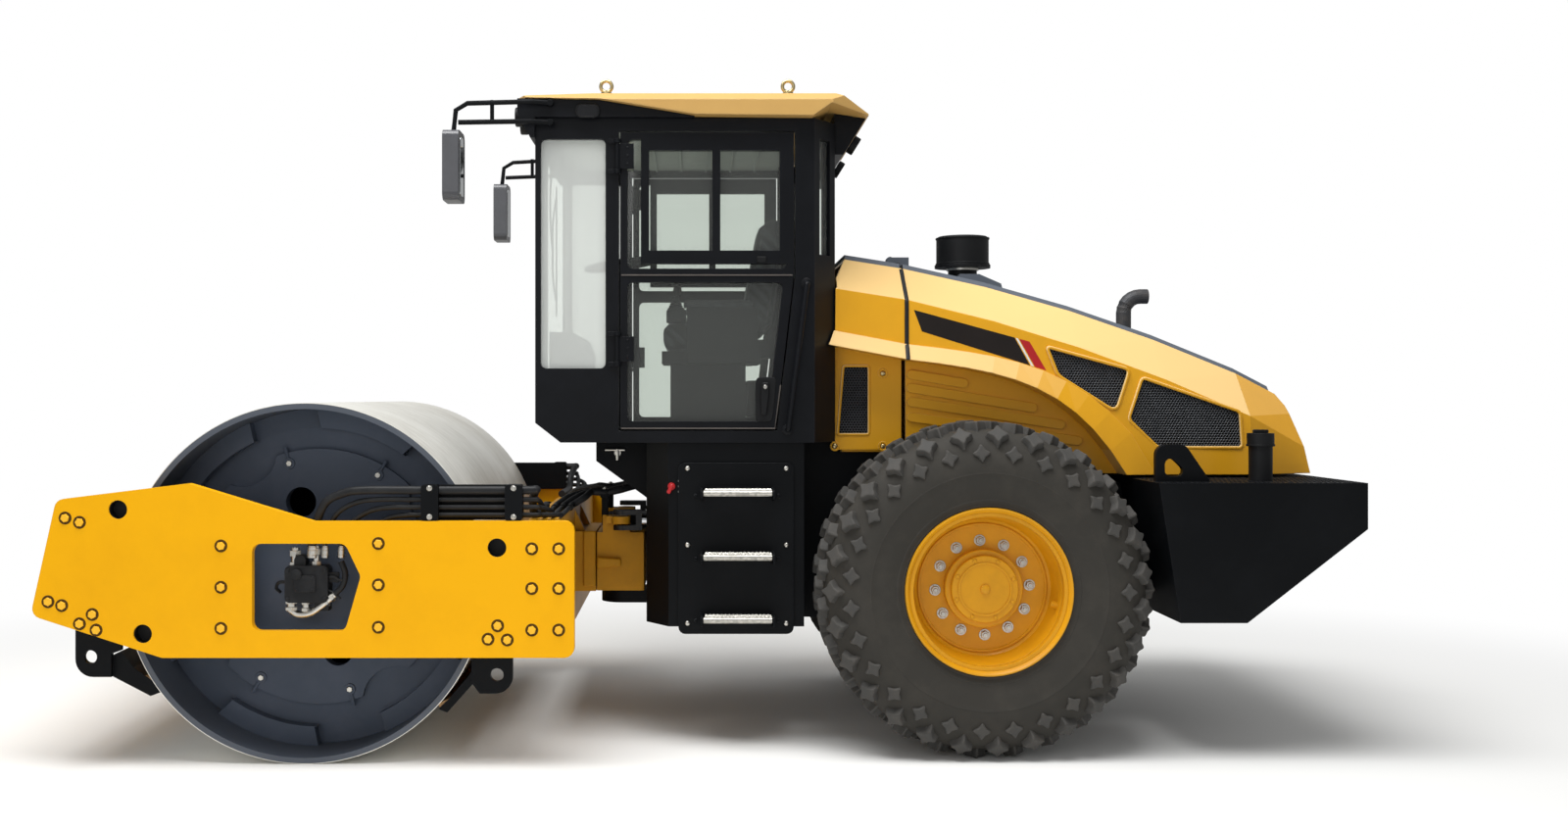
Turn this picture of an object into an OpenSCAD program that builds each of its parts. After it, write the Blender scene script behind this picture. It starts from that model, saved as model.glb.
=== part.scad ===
// Single-drum road roller with an articulated frame, a glazed cab and a tilting engine hood.
// Front (drum end) is -X, the left side is -Y, the ground is Z = 0. Sizes in millimetres.

/* [Layout] */
// Drum axis to rear axle
wheelbase = 2890; // [2700:10:3200]
// Nose of the side plates beyond the drum's face
nose_gap = 350.5; // [300:0.5:420]
// Rear axle to the end of the tail
tail_len = 1598; // [1500:1:1750]

/* [Drum] */
// Drum outside diameter
drum_d = 1523; // [1400:1:1600]
// Drum width
drum_w = 2130; // [1900:10:2200]
// Shell thickness
shell_t = 26; // [20:1:40]
// Depth of the heads inside the drum's ends
head_inset = 285; // [240:5:330]
// Thickness of the heads
head_t = 40; // [25:1:60]
// Radius of the round holes in the heads
head_hole_r = 66; // [50:1:75]
// Radius of the drum's bearing trunnions
trunnion_r = 140; // [110:1:160]

/* [Front frame] */
// Thickness of the side plates
plate_t = 40; // [30:1:50]
// Free gap between the drum's end and the side plate
plate_gap = 45; // [40:1:60]
// Drum's face to the rear end of the side plates
plate_tail = 381.5; // [360:0.5:420]
// Drum axis down to the side plates' lower edge
plate_drop = 299.5; // [270:0.5:330]
// Drum axis up to the side plates' rear upper edge
plate_rise = 270.5; // [240:0.5:300]
// Drum axis up to the side plates' peak
plate_crown = 426.5; // [400:0.5:450]
// Radius of the lifting holes in the side plates
lift_hole_r = 39; // [25:1:45]
// Radius of the tie-down holes
tie_hole_r = 28; // [20:1:34]
// Clearance of the scraper blades from the drum
scraper_gap = 12; // [8:1:25]
// Outside radius of the thick drum hose
hose_r = 18; // [14:1:20]
// Outside radius of the thin drum hoses
line_r = 11; // [8:1:12]

/* [Centre joint] */
// Side plates' rear end to the steering pin
pin_reach = 155; // [140:1:180]
// Height of the oscillation axis
osc_z = 768; // [740:1:790]
// Radius of the oscillation shaft
osc_r = 90; // [70:1:100]
// Half width of the yoke
yoke_hw = 250; // [230:1:270]
// Half height of the yoke
yoke_hh = 138; // [128:1:148]
// Radius of the steering pins
steer_r = 45; // [35:1:55]
// Steering cylinder's rod eye to the centre line
rod_arm = 320; // [300:1:335]
// Radius of the steering cylinders' barrels
barrel_r = 44; // [36:1:50]
// Radius of the steering cylinders' rods
rod_r = 22; // [16:1:26]

/* [Wheels] */
// Tyre diameter to the tips of the lugs
tyre_d = 1444; // [1400:1:1500]
// Tyre width
tyre_w = 520; // [480:1:540]
// Centre line to the middle of a tyre
track_hw = 805; // [795:1:830]
// Lugs in each row round a tyre
lug_count = 27; // [20:1:28]
// Height of the lugs over the carcass
lug_h = 26; // [18:1:30]
// Radius of the rim's bead seat
rim_r = 318; // [300:1:330]
// Radius of the hub
hub_r = 168; // [140:1:180]
// Radius of the axle spindle
spindle_r = 90; // [70:1:100]

/* [Rear frame] */
// Half width over the chassis rails
rail_hw = 440; // [420:1:450]
// Thickness of the chassis rails
rail_t = 40; // [30:1:50]
// Height of the chassis' lower edge
rail_low = 532; // [510:1:560]
// Half width over the side tanks
tank_hw = 738; // [700:1:745]
// Thickness of the step panels
step_t = 16; // [10:1:20]
// Height of the tail's deck
deck_z = 1184; // [1170:1:1190]
// Half width of the tail
tail_hw = 1050; // [980:10:1100]

/* [Cab] */
// Half width of the cab
cab_hw = 750; // [740:1:800]
// Rear axle to the cab's front
cab_front_len = 1951; // [1940:1:1990]
// Rear axle to the cab's rear wall
cab_rear_len = 613; // [600:1:640]
// Height of the cab's underside
cab_low = 1346; // [1340:1:1360]
// Height of the cab's upper rail
cab_top = 2780; // [2760:1:2800]
// Thickness of the cab's walls and doors
wall_t = 50; // [40:1:60]
// Thickness of the glass
glass_t = 8; // [5:1:12]
// Gap around the doors
door_gap = 7; // [6:1:12]
// Rise of the roof's crown over the cab's upper rail
roof_crown = 113; // [105:1:140]
// Half width of the roof
roof_hw = 820; // [800:1:840]

/* [Hood] */
// Rear axle to the seam between cowl and hood, forward
seam_len = 290; // [280:1:310]
// Height of the hood's ridge at the seam
ridge_front = 2143; // [2120:1:2160]
// Height of the hood's ridge at its rear end
ridge_rear = 1612; // [1600:1:1630]
// Rise of the ridge over its straight line
ridge_crown = 54; // [30:1:80]
// Half width of the flat top
top_hw = 420; // [400:1:440]
// Half width of the hood's sides
side_hw = 612; // [600:1:630]
// Half width of the flared lip
lip_hw = 662; // [650:1:680]
// Wall of the hood
hood_t = 20; // [14:1:26]
// Radius of the pre-cleaner's bowl
bowl_r = 127; // [110:1:140]
// Outside radius of the exhaust pipe
pipe_r = 36; // [28:1:44]

/* [Hidden] */
$fn = 64;
// Radial clearance of turning fits
fit = 0.08;
// Clearance between fixed pieces that meet on a round or a cut edge
seat = 0.3;
drum_z = drum_d / 2;
nose_len = drum_z + nose_gap;
plate_rear = drum_z + plate_tail;
plate_low = drum_z - plate_drop;
plate_top = drum_z + plate_rise;
plate_peak = drum_z + plate_crown;
overall_len = nose_len + wheelbase + tail_len;
drum_x = nose_len - overall_len / 2;
drum_hw = drum_w / 2;
axle_x = drum_x + wheelbase;
wheel_z = tyre_d / 2;
// Axle height that the rear frame's own heights are given for, and what other tyres change
axle_base = 722;
ride = wheel_z - axle_base;
spread = wheel_z / axle_base;
steer_x = drum_x + plate_rear + pin_reach;
plate_in = drum_hw + plate_gap;
plate_out = plate_in + plate_t;
head_face = drum_hw - head_inset;
shell_in = drum_d / 2 - shell_t;
beam_rear = plate_rear - 70;
beam_low = plate_low + 22;
flange_rear = -pin_reach + 32;
yoke_front = flange_rear + 6;
yoke_rear = 105;
ear_gap = 14;
ear_t = 62;
ear_low = osc_z - yoke_hh - ear_gap - ear_t;
ear_top = osc_z + yoke_hh + ear_gap + ear_t;
rod_z = ear_top - ear_t / 2 + 20;
lug_t = 34;
cyl_len = 730;
cyl_rear_y = rod_arm - 18;
cyl_tilt = atan2(rod_arm - cyl_rear_y, cyl_len);
rail_front = 128;
tank_rear = -(wheel_z + 40);
tyre_in = track_hw - tyre_w / 2;
rim_out = track_hw + tyre_w / 2 - 10;
disc_out = rim_out - 180;
cap_out = rim_out - 110;
pad_h = 150;
pad_z = axle_base + pad_h;
floor_z = cab_low + 60;
door_low = cab_low + 59;
door_top = cab_top - 63;
door_mid = cab_low + 744;
sill_z = cab_low + 834;
wind_low = cab_low + 214;
door_front = -cab_front_len + 376;
door_rear = -cab_rear_len - 195;
door_foot = door_rear - 81;
pillar_rear = -cab_rear_len - 104;
chamfer_y = cab_hw - 150;
inner_hw = cab_hw - wall_t;
hinge_out = cab_hw + 14;
hinge_x = door_front - 12;
hood_end = 1650;
hood_rear = 1360;
hood_tip = 1440;
hood_heel = 1580;
arch_z = ridge_front - 429;
tail_low = deck_z - 592;
panel_hw = 500;
cab_free = 10;
cowl_lip = pillar_rear + 62;
panel_t = 18;
pod_hw = roof_hw - 40;
roof_top = cab_top + roof_crown;
roof_edge = roof_top - 19;
roof_lip = roof_top - 30;
roof_sag = roof_top - 38;
roof_side = roof_top - 41;
ridge_pin_z = ridge_front + 54;
ridge_pin_x = -seam_len - 29;
ridge_pin_y = 220;
door_pin_r = 7;
hinge_rows = [cab_low + 414, cab_top - 170];

function lerp(a, b, t) = a + (b - a) * t;
function unit(v) = v / norm(v);
function turn(a) = a > 180 ? a - 360 : a < -180 ? a + 360 : a;
function fillet(a, b, c, r, n) =
    let (u = unit(a - b), w = unit(c - b), half = acos(u * w) / 2,
         m = b + unit(u + w) * r / sin(half), p = b + u * r / tan(half), q = b + w * r / tan(half),
         a0 = atan2(p.y - m.y, p.x - m.x), da = turn(atan2(q.y - m.y, q.x - m.x) - a0))
    [for (k = [0:n]) m + r * [cos(a0 + da * k / n), sin(a0 + da * k / n)]];
function rounded(pts, r, n = 4) =
    let (c = len(pts)) [for (i = [0:c - 1]) each fillet(pts[(i + c - 1) % c], pts[i], pts[(i + 1) % c], r, n)];
function box_pts(x0, x1, z0, z1) = [[x0, z0], [x1, z0], [x1, z1], [x0, z1]];

// Height of the hood's ridge at a distance behind the axle
function ridge_t(x) = (x + seam_len) / (hood_rear + seam_len);
function ridge(x) =
    let (t = ridge_t(x)) lerp(ridge_front, ridge_rear, t) + ridge_crown * 4 * t * (1 - t);
hood_stations = [-seam_len + 8, 100, 490, 880, 1260, hood_end];
crest_line = [for (x = concat([-700, -seam_len], hood_stations)) [x, ridge(x)]];
function crest(x) = lookup(x, crest_line);
function shoulder(x) = crest(x) - 157 - 40 * max(ridge_t(x), 0);
// Narrowing of the hood towards its rear corners
function taper(x) = x < 1250 ? 1 : lerp(1, 0.78, (x - 1250) / (hood_heel - 1250));

// Lower edge of the lip over the wheel, a curve from the seam down to the deck
function curve(a, b, c, d, t) =
    a * pow(1 - t, 3) + 3 * b * t * pow(1 - t, 2) + 3 * c * t * t * (1 - t) + d * pow(t, 3);
arch_front = [[cowl_lip, arch_z + 70], [-seam_len, arch_z + 1]];
arch_rear = [for (i = [0:10]) curve([-seam_len + 8, arch_z], [180 * spread, arch_z - 54],
    [450 * spread, arch_z - 114], [688 * spread, deck_z + 14], i / 10)];
// Long hole or rib between two round ends
function stadium(a, b, r, n = 8) = let (u = unit(b - a), v = [-u.y, u.x]) concat(
    [for (k = [0:n]) a + r * (cos(90 + 180 * k / n) * u + sin(90 + 180 * k / n) * v)],
    [for (k = [0:n]) b + r * (cos(270 + 180 * k / n) * u + sin(270 + 180 * k / n) * v)]);

module across(y0, y1) {
    translate([0, y1, 0]) rotate([90, 0, 0]) linear_extrude(y1 - y0) children();
}
module both_sides() {
    children();
    mirror([0, 1, 0]) children();
}
module rod_y(r, y0, y1) {
    translate([0, y0, 0]) rotate([-90, 0, 0]) cylinder(r = r, h = y1 - y0);
}
module rod_x(r, x0, x1) {
    translate([x0, 0, 0]) rotate([0, 90, 0]) cylinder(r = r, h = x1 - x0);
}
module spin_y() {
    rotate([-90, 0, 0]) rotate_extrude() children();
}
// Solid through a row of equal rings
module loft(rings) {
    n = len(rings[0]);
    m = len(rings);
    polyhedron(
        points = [for (r = rings) each r],
        faces = concat(
            [[for (i = [n - 1:-1:0]) i]],
            [for (j = [0:m - 2], i = [0:n - 1]) each
                [[j * n + i, (j + 1) * n + (i + 1) % n, (j + 1) * n + i],
                 [j * n + i, j * n + (i + 1) % n, (j + 1) * n + (i + 1) % n]]],
            [[for (i = [0:n - 1]) (m - 1) * n + i]]));
}
// Round tube along a path
function tangent(p, i) = unit(p[min(i + 1, len(p) - 1)] - p[max(i - 1, 0)]);
function tube_ring(p, i, r, n) =
    let (t = tangent(p, i), u = unit(cross(t, [0.31, 0.22, 0.92])), w = cross(t, u))
    [for (k = [0:n - 1]) p[i] + r * (cos(-360 * k / n) * u + sin(-360 * k / n) * w)];
module tube(p, r, n = 8) loft([for (i = [0:len(p) - 1]) tube_ring(p, i, r, n)]);
// Strip along a path in the side view: each corner of its section is [distance above the path, y]
function path_normal(p, i, last) =
    let (t = unit(p[min(i + 1, len(p) - 1)] - p[max(i - 1, 0)]))
    i == 0 ? [0, 1] : i == len(p) - 1 ? last : [-t.y, t.x];
module strip(p, section, grow = 1, last = [0, 1])
    loft([for (i = [0:len(p) - 1])
        let (v = path_normal(p, i, last), k = lerp(1, grow, pow(i / (len(p) - 1), 2)))
        [for (s = section) [p[i].x + v.x * s[0] * k, s[1], p[i].y + v.y * s[0] * k]]]);

module at_drum() translate([drum_x, 0, 0]) children();
module at_wheel() translate([axle_x, 0, wheel_z]) children();
module at_axle() translate([axle_x, 0, ride]) children();
module at_joint() translate([steer_x, 0, ride]) children();
// Points in the side view before and behind the drum's face, with heights from the drum axis
function nose(x, z) = [-drum_z - x, drum_z + z];
function heel(x, z) = [drum_z + x, drum_z + z];

module drum_shell() color("#A9A99F") at_drum() translate([0, 0, drum_z]) difference() {
    rod_y(drum_d / 2, -drum_hw, drum_hw);
    rod_y(shell_in, -drum_hw - 1, drum_hw + 1);
}

module drum_heads() color("#3A4048") at_drum() translate([0, 0, drum_z]) both_sides() difference() {
    union() {
        rod_y(shell_in - seat, head_face - head_t, head_face);
        difference() {
            rod_y(560, head_face - 1, head_face + 24);
            for (a = [58:90:328]) rotate([0, a, 0]) translate([640, 0, 0]) rod_y(150, head_face, head_face + 25);
        }
        difference() {
            rod_y(shell_in - seat, head_face - 1, head_face + 60);
            rod_y(shell_in - 85, head_face - 2, head_face + 61);
            for (a = [18:60:318]) rotate([0, a, 0]) translate([shell_in - 100, head_face, -150])
                cube([120, 61, 300]);
        }
        rod_y(trunnion_r + 70, head_face - 1, head_face + 50);
    }
    rod_y(trunnion_r + fit, head_face - head_t - 1, head_face + 51);
    for (a = [76:90:346]) rotate([0, a, 0]) translate([335, 0, 0])
        rod_y(head_hole_r, head_face - head_t - 1, head_face + 30);
}

plate_pts = [[-nose_len - 7.2, drum_z - 122.5], nose(251.5, 358.5), [-460, plate_peak], [59, plate_top - 2],
    [plate_rear, plate_top], [plate_rear, plate_low], [188.5 - drum_z, plate_low]];
window_pts = [for (p = [[-198, -187.5], [189, -187.5], [254, 40.5], [189, 175.5], [-198, 175.5]])
    p + [0, drum_z]];
lift_holes = [nose(-5.5, 317.5), nose(-108.5, -199.5), [plate_rear - 322, drum_z + 158.5]];

module side_plates() color("#F5B800") at_drum() both_sides() across(plate_in, plate_out) difference() {
    polygon(rounded(plate_pts, 42));
    polygon(rounded(window_pts, 36));
    for (p = lift_holes) translate(p) circle(lift_hole_r);
}

beam_nose = nose(248.5, -142.5);
beam_foot = nose(80.5, -201.5);
module front_beam() color("#F5B800") at_drum() across(-plate_in, plate_in)
    polygon([nose(272.5, -101.5), nose(233.5, 313.5), nose(118.5, 313.5), nose(80.5, 138.5), beam_foot,
        beam_nose]);

module rear_beam() color("#F5B800") {
    at_drum() across(-plate_in, plate_in)
        polygon([[plate_rear - 235, beam_low], [beam_rear, beam_low], [beam_rear, plate_top - 4],
            [plate_rear - 203, plate_top - 4], [plate_rear - 235, plate_top - 60]]);
    at_drum() both_sides() across(yoke_hw - 90, yoke_hw - 50)
        polygon([[beam_rear - 1, osc_z + ride + 40], [plate_rear + 25, osc_z + ride + 40],
            [beam_rear - 1, plate_top - 20]]);
    at_joint() translate([0, 0, osc_z]) {
        translate([-pin_reach - 71, -yoke_hw + 10, -yoke_hh - 4])
            cube([flange_rear + pin_reach + 71, 2 * yoke_hw - 20, 2 * yoke_hh + 8]);
        rod_x(osc_r, flange_rear - 1, 50);
    }
}

module drum_carriers() color("#2E3338") at_drum() translate([0, 0, drum_z]) both_sides() {
    difference() {
        across(drum_hw - 105, drum_hw - 75) polygon(rounded(box_pts(-390, 390, -240, 240), 60));
        rod_y(86, drum_hw - 106, drum_hw - 74);
    }
    rod_y(trunnion_r, head_face - head_t, drum_hw - 104);
    for (x = [-327, 327], z = [-170, 0, 170]) translate([x, 0, z]) rod_y(52, drum_hw - 76, plate_in);
}

module drum_motors() color("#1B1C1E") at_drum() translate([0, 0, drum_z]) both_sides() {
    rod_y(85, drum_hw - 104 + seat, drum_hw - 30);
    across(drum_hw - 31, plate_in + 10) polygon(rounded(box_pts(-70, 110, -75, 80), 20));
    translate([-10, 0, 100]) rod_y(24, drum_hw - 20, plate_in - 4);
    translate([-34, drum_hw - 20, 75]) cube([48, plate_gap + 16, 30]);
    translate([50, drum_hw - 20, -110]) cube([60, plate_gap + 16, 40]);
}

front_lug = concat([lerp(beam_nose, beam_foot, 0.22)],
    fillet(nose(211.5, -155.5), nose(211.5, -397.5), nose(60.5, -397.5), 76, 8),
    [nose(60.5, -397.5), nose(60.5, -300), nose(19.5, -285), nose(19.5, -250),
        lerp(beam_nose, beam_foot, 0.893)]);
rear_lug = concat([heel(-61.5, -421.5), heel(-26.5, -467.5)],
    fillet(heel(-26.5, -467.5), heel(112.5, -467.5), heel(112.5, -309), 72, 8),
    [heel(112.5, -309), [plate_rear - 158, beam_low], [plate_rear - 235, beam_low], heel(80, -300),
        heel(-61.5, -314.5)]);
// Point at a polar angle on the drum's face, standing off by a distance
function off_drum(a, g) = [(drum_d / 2 + g) * cos(a), drum_z + (drum_d / 2 + g) * sin(a)];

module scrapers() color("#17191D") at_drum() {
    both_sides() across(plate_in - 90, plate_in - 62) difference() {
        polygon(front_lug);
        translate(nose(148.5, -312.5)) circle(tie_hole_r);
    }
    both_sides() across(plate_in - 90, plate_in - 62) difference() {
        polygon(rear_lug);
        translate(heel(46.5, -388.5)) circle(tie_hole_r);
    }
    across(89 - plate_in, plate_in - 89)
        polygon([off_drum(217, scraper_gap), off_drum(213, scraper_gap + 4), off_drum(206, 60), nose(28.5, -291.5),
            nose(84.5, -318.5), nose(84.5, -388.5), off_drum(216, 60)]);
    across(89 - plate_in, plate_in - 89)
        polygon([off_drum(316, scraper_gap), off_drum(320, scraper_gap + 4), off_drum(330, 30), heel(-48.5, -351.5),
            heel(-41.5, -411.5), off_drum(317, 50)]);
}

clamp_x = [plate_rear - 640, plate_rear - 290];
clamp_w = 72;
hose_y = plate_in - 6;
hose_rows = [for (z = [22, 54, 86, 125]) plate_top + z];
hose_radii = [line_r, line_r, line_r, hose_r];
module hose_clamps() color("#17191D") at_drum() both_sides() {
    difference() {
        across(plate_in - 34, plate_out - 6) for (x = clamp_x)
            polygon(rounded(box_pts(x, x + clamp_w, plate_top + seat, plate_top + 150), 12));
        for (i = [0:3]) translate([0, hose_y, hose_rows[i]])
            rod_x(hose_radii[i] + seat, clamp_x[0] - 1, clamp_x[1] + clamp_w + 1);
    }
    across(plate_in - 34, plate_in - 26)
        polygon(box_pts(clamp_x[0] + 10, clamp_x[1] + clamp_w - 10, plate_top + seat, plate_top + 148));
}

hose_start = [232, 160, 92, 38];
hose_turn = [110, 74, 38, -4];
function hose_path(i) = let (z = hose_rows[i], x = hose_start[i], q = plate_rear - 183 + hose_turn[i],
        top = plate_top - 4 + hose_radii[i] + seat)
    [[x, hose_y - 14, drum_z + 110], [x + 4, hose_y - 14, plate_top - 70], [x + 50, hose_y - 14, z - 62],
     [x + 130, hose_y - 10, z - 14], [x + 225, hose_y, z], [clamp_x[0] - 22, hose_y, z],
     [plate_rear - 211, hose_y, z], [lerp(plate_rear - 168, q, 0.25), hose_y - 24, z - 2],
     [q, hose_y - 90, lerp(z, top, 0.45)],
     [q, hose_y - 200, top], [q, rail_hw - 20, top]];

module drum_hoses() color("#222326") at_drum() both_sides() for (i = [0:3]) tube(hose_path(i), hose_radii[i]);

module yoke() color("#F0B20A") at_joint() {
    difference() {
        translate([yoke_front, -yoke_hw, osc_z - yoke_hh])
            cube([yoke_rear - yoke_front, 2 * yoke_hw, 2 * yoke_hh]);
        translate([0, 0, osc_z]) rod_x(osc_r + fit, yoke_front - 1, 56);
    }
    translate([0, 0, ear_low]) cylinder(r = steer_r, h = ear_t + ear_gap + 1);
    translate([0, 0, osc_z + yoke_hh - 1]) cylinder(r = steer_r, h = ear_t + ear_gap + 1);
    both_sides() {
        translate([-90, yoke_hw - 36, osc_z + yoke_hh - 1])
            cube([130, 36, rod_z + lug_t / 2 - osc_z - yoke_hh + 1]);
        translate([-70, yoke_hw - 20, rod_z - lug_t / 2]) cube([100, rod_arm - yoke_hw + 20, lug_t]);
        translate([0, rod_arm, rod_z - lug_t / 2]) cylinder(r = 44, h = lug_t);
    }
}

// Steering cylinder, drawn along +X from its rod eye and swung onto its line
module on_cylinder(side) at_joint() translate([0, side * rod_arm, rod_z])
    rotate([0, 0, -side * cyl_tilt]) children();
cyl_span = norm([cyl_len, rod_arm - cyl_rear_y]);

module barrel(side) color("#17191D") on_cylinder(side) difference() {
    union() {
        rod_x(barrel_r, cyl_span - 445, cyl_span - 66);
        rod_x(26, cyl_span - 67, cyl_span - 20);
        translate([cyl_span, 0, -24]) cylinder(r = barrel_r - 4, h = 48);
    }
    rod_x(rod_r + fit, cyl_span - 446, cyl_span - 78);
    translate([cyl_span, 0, -25]) cylinder(r = 20 + fit, h = 50);
}
module barrel_left() barrel(-1);
module barrel_right() barrel(1);

module rod(side) color("#B9BCC0") on_cylinder(side) {
    rod_x(rod_r, 90, cyl_span - 259);
    translate([70, -34, -lug_t / 2 - 30]) cube([28, 68, lug_t + 60]);
    for (z = [-lug_t / 2 - 30, lug_t / 2 + 8]) translate([0, 0, z]) {
        cylinder(r = 36, h = 22);
        translate([0, -34, 0]) cube([71, 68, 22]);
    }
}
module rod_left() rod(-1);
module rod_right() rod(1);

rel = steer_x - axle_x;
function tail_front(z) = lerp(wheel_z - 6, wheel_z + 85, (deck_z - z) / (deck_z - tail_low));
eye_x = tail_front(deck_z - 60) + 1;
engine_len = 710;
engine_x = eye_x - 876;
nose_pts = [[rel + rail_front, rail_low], [rel + rail_front, 1080], [rel - 109, 1252], [rel - 109, cab_low],
    [-cab_rear_len + 20, cab_low], [-cab_rear_len + 20, 1296], [-320, 1296], [-200, deck_z - 30],
    [tail_front(deck_z - 30) - seat, deck_z - 30], [tail_front(640) - seat, 640], [420, 640], [330, pad_z],
    [-330, pad_z], [-430, 700], [-640, rail_low]];

module rear_chassis() color("#14171C") {
    at_axle() both_sides() across(rail_hw - rail_t, rail_hw) polygon(nose_pts);
    at_axle() {
        translate([rel + 300, -rail_hw + 1, rail_low])
            cube([40, 2 * rail_hw - 2, rod_z - barrel_r - 30 - rail_low]);
        translate([rel + 300, -200, rail_low]) cube([40, 400, cab_low - rail_low]);
        translate([rel + cyl_len + 90, -rail_hw + 1, rail_low]) cube([40, 2 * rail_hw - 2, cab_low - rail_low]);
        translate([rel - 109, -rail_hw + 1, cab_low - 40])
            cube([-cab_rear_len + 20 - rel + 109, 2 * rail_hw - 2, 40]);
        translate([engine_x + engine_len, -rail_hw + 1, 660]) cube([40, 2 * rail_hw - 2, deck_z - 30 - 660]);
        translate([-420, -rail_hw + 1, pad_z - 50])
            cube([60, 2 * rail_hw - 2, rod_z - barrel_r - 30 - pad_z + 50]);
    }
    at_joint() for (z = [ear_low, ear_top - ear_t]) translate([0, 0, z]) difference() {
        union() {
            cylinder(r = 108, h = ear_t);
            translate([0, -108, 0]) cube([302, 216, ear_t]);
        }
        translate([0, 0, -1]) cylinder(r = steer_r + fit, h = ear_t + 2);
    }
    at_joint() both_sides() {
        for (z = [rod_z - 60, rod_z + 30]) translate([cyl_len - 45, cyl_rear_y - 50, z]) cube([137, 100, 30]);
        translate([cyl_len, cyl_rear_y, rod_z - 60]) cylinder(r = 20, h = 120);
    }
}

tank_pts = [[rel + rail_front, rail_hw], [rel + rail_front, 585], [rel + rail_front + 102, tank_hw],
    [tank_rear, tank_hw], [tank_rear, rail_hw]];

module side_tanks() color("#14171C") at_axle() both_sides() translate([0, 0, rail_low])
    linear_extrude(cab_low - rail_low) polygon(tank_pts);

tread_rows = [594, 867, 1146];
tread_x0 = tank_rear - 458;
tread_x1 = tank_rear - 136;
tread_in = tank_hw + step_t + 34;

module step_panels() color("#14171C") at_axle() both_sides() {
    across(tank_hw, tank_hw + step_t) polygon(rounded(box_pts(tank_rear - 556, tank_rear - 47, 501, 1257), 30));
    for (z = tread_rows, x = [tread_x0, tread_x1 - 8])
        translate([x, tank_hw + step_t - 1, z - 45]) cube([8, tread_in - tank_hw - step_t + 62, 45]);
}

module step_treads() color("#C9C4B9") at_axle() both_sides() for (z = tread_rows)
    translate([tread_x0 + 8, tread_in, z - 34]) cube([tread_x1 - tread_x0 - 16, 86, 34]);

module tail_ballast() color("#14171C") at_axle() {
    across(-tail_hw, tail_hw) polygon([[tail_front(deck_z), deck_z], [tail_front(tail_low), tail_low],
        [tail_len - 509, tail_low], [tail_len, deck_z - 195], [tail_len, deck_z]]);
    both_sides() across(tail_hw - 115, tail_hw - 80) difference() {
        polygon(rounded([[eye_x, deck_z - 60], [eye_x + 276, deck_z - 60], [eye_x + 126, deck_z + 160],
            [eye_x, deck_z + 160]], 44, 6));
        polygon(rounded([[eye_x + 38, deck_z + 24], [eye_x + 152, deck_z + 24], [eye_x + 38, deck_z + 132]], 24));
    }
}

module tank_filler() color("#1B1C1E") at_axle() translate([tail_len - 381, -tail_hw + 200, deck_z]) {
    cylinder(r = 50, h = 150);
    translate([0, 0, 149]) cylinder(r = 57, h = 57);
}

module rear_axle() color("#1D2024") at_wheel() {
    rod_y(125, -tyre_in + 5, tyre_in - 5);
    rod_x(235, -190, 190);
    both_sides() {
        rod_y(160, tyre_in - 6, tyre_in + 70);
        rod_y(spindle_r, tyre_in + 69, disc_out - 80);
        translate([-170, rail_hw - rail_t - 60, 0]) cube([340, rail_t + 60, pad_h]);
    }
}

module engine_block() color("#4A4D52") at_axle() translate([engine_x, -270, pad_z + 100])
    cube([engine_len - seat, 540, 620]);

// Half section of the carcass: distance from the tyre's middle and radius
bore_k = 1 / cos(180 / lug_count);
tyre_half = [[tyre_w * 0.35, wheel_z - lug_h], [tyre_w * 0.47, wheel_z - 96], [tyre_w / 2, wheel_z - 190],
    [tyre_w / 2 - 27, rim_r + 44], [tyre_w / 2 - 27, (rim_r + seat) * bore_k]];
tyre_pts = concat(
    [for (i = [len(tyre_half) - 1:-1:0]) [tyre_half[i][1], -tyre_half[i][0]]],
    [for (p = tyre_half) [p[1], p[0]]]);
// Rows of lugs: distance from the middle, radius of the foot, lean, half length, half width, height, stagger
lug_rows = [
    [0, wheel_z - lug_h - 12, 0, 56, 48, lug_h + 12, 0.5],
    [tyre_w * 0.23, wheel_z - lug_h - 12, 0, 54, 48, lug_h + 12, 0],
    [-tyre_w * 0.23, wheel_z - lug_h - 12, 0, 54, 48, lug_h + 12, 0],
    [tyre_w * 0.39, wheel_z - 69, 48, 44, 46, 32, 0.5],
    [tyre_w * 0.467, wheel_z - 135, 80, 32, 34, 17, 0]];

module tyre() color("#3B3A38") at_wheel() translate([0, track_hw, 0]) {
    rotate([-90, 0, 0]) rotate_extrude($fn = lug_count) polygon(tyre_pts);
    for (w = lug_rows, i = [0:lug_count - 1]) rotate([0, 360 * (i + w[6]) / lug_count, 0])
        translate([w[1], w[0], 0]) rotate([0, 0, w[2]]) rotate([0, 90, 0])
            hull() scale([w[4], w[3], 1]) cylinder(r1 = 1, r2 = 0.62, h = w[5], $fn = 4);
}
module tyre_right() tyre();
module tyre_left() mirror([0, 1, 0]) tyre();

rim_pts = [[rim_r + 39, rim_out], [rim_r + 39, rim_out - 17 + seat], [rim_r, rim_out - 17 + seat],
    [rim_r, tyre_in + 27 - seat], [rim_r + 39, tyre_in + 27 - seat], [rim_r + 39, tyre_in + 10],
    [rim_r - 16, tyre_in + 10], [rim_r - 16, rim_out - 22], [rim_r + 27, rim_out]];
module rim() color("#D9940F") at_wheel() difference() {
    union() {
        spin_y() polygon(rim_pts);
        rod_y(rim_r - 15, disc_out - 24, disc_out);
        rod_y(hub_r, tyre_in + 76, cap_out - 24);
        rod_y(hub_r - 24, cap_out - 25, cap_out);
        rod_y(hub_r + 72, disc_out - 50, disc_out - 23);
    }
    rod_y(spindle_r + fit, tyre_in + 75, disc_out - 72);
}
module rim_right() rim();
module rim_left() mirror([0, 1, 0]) rim();

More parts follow.
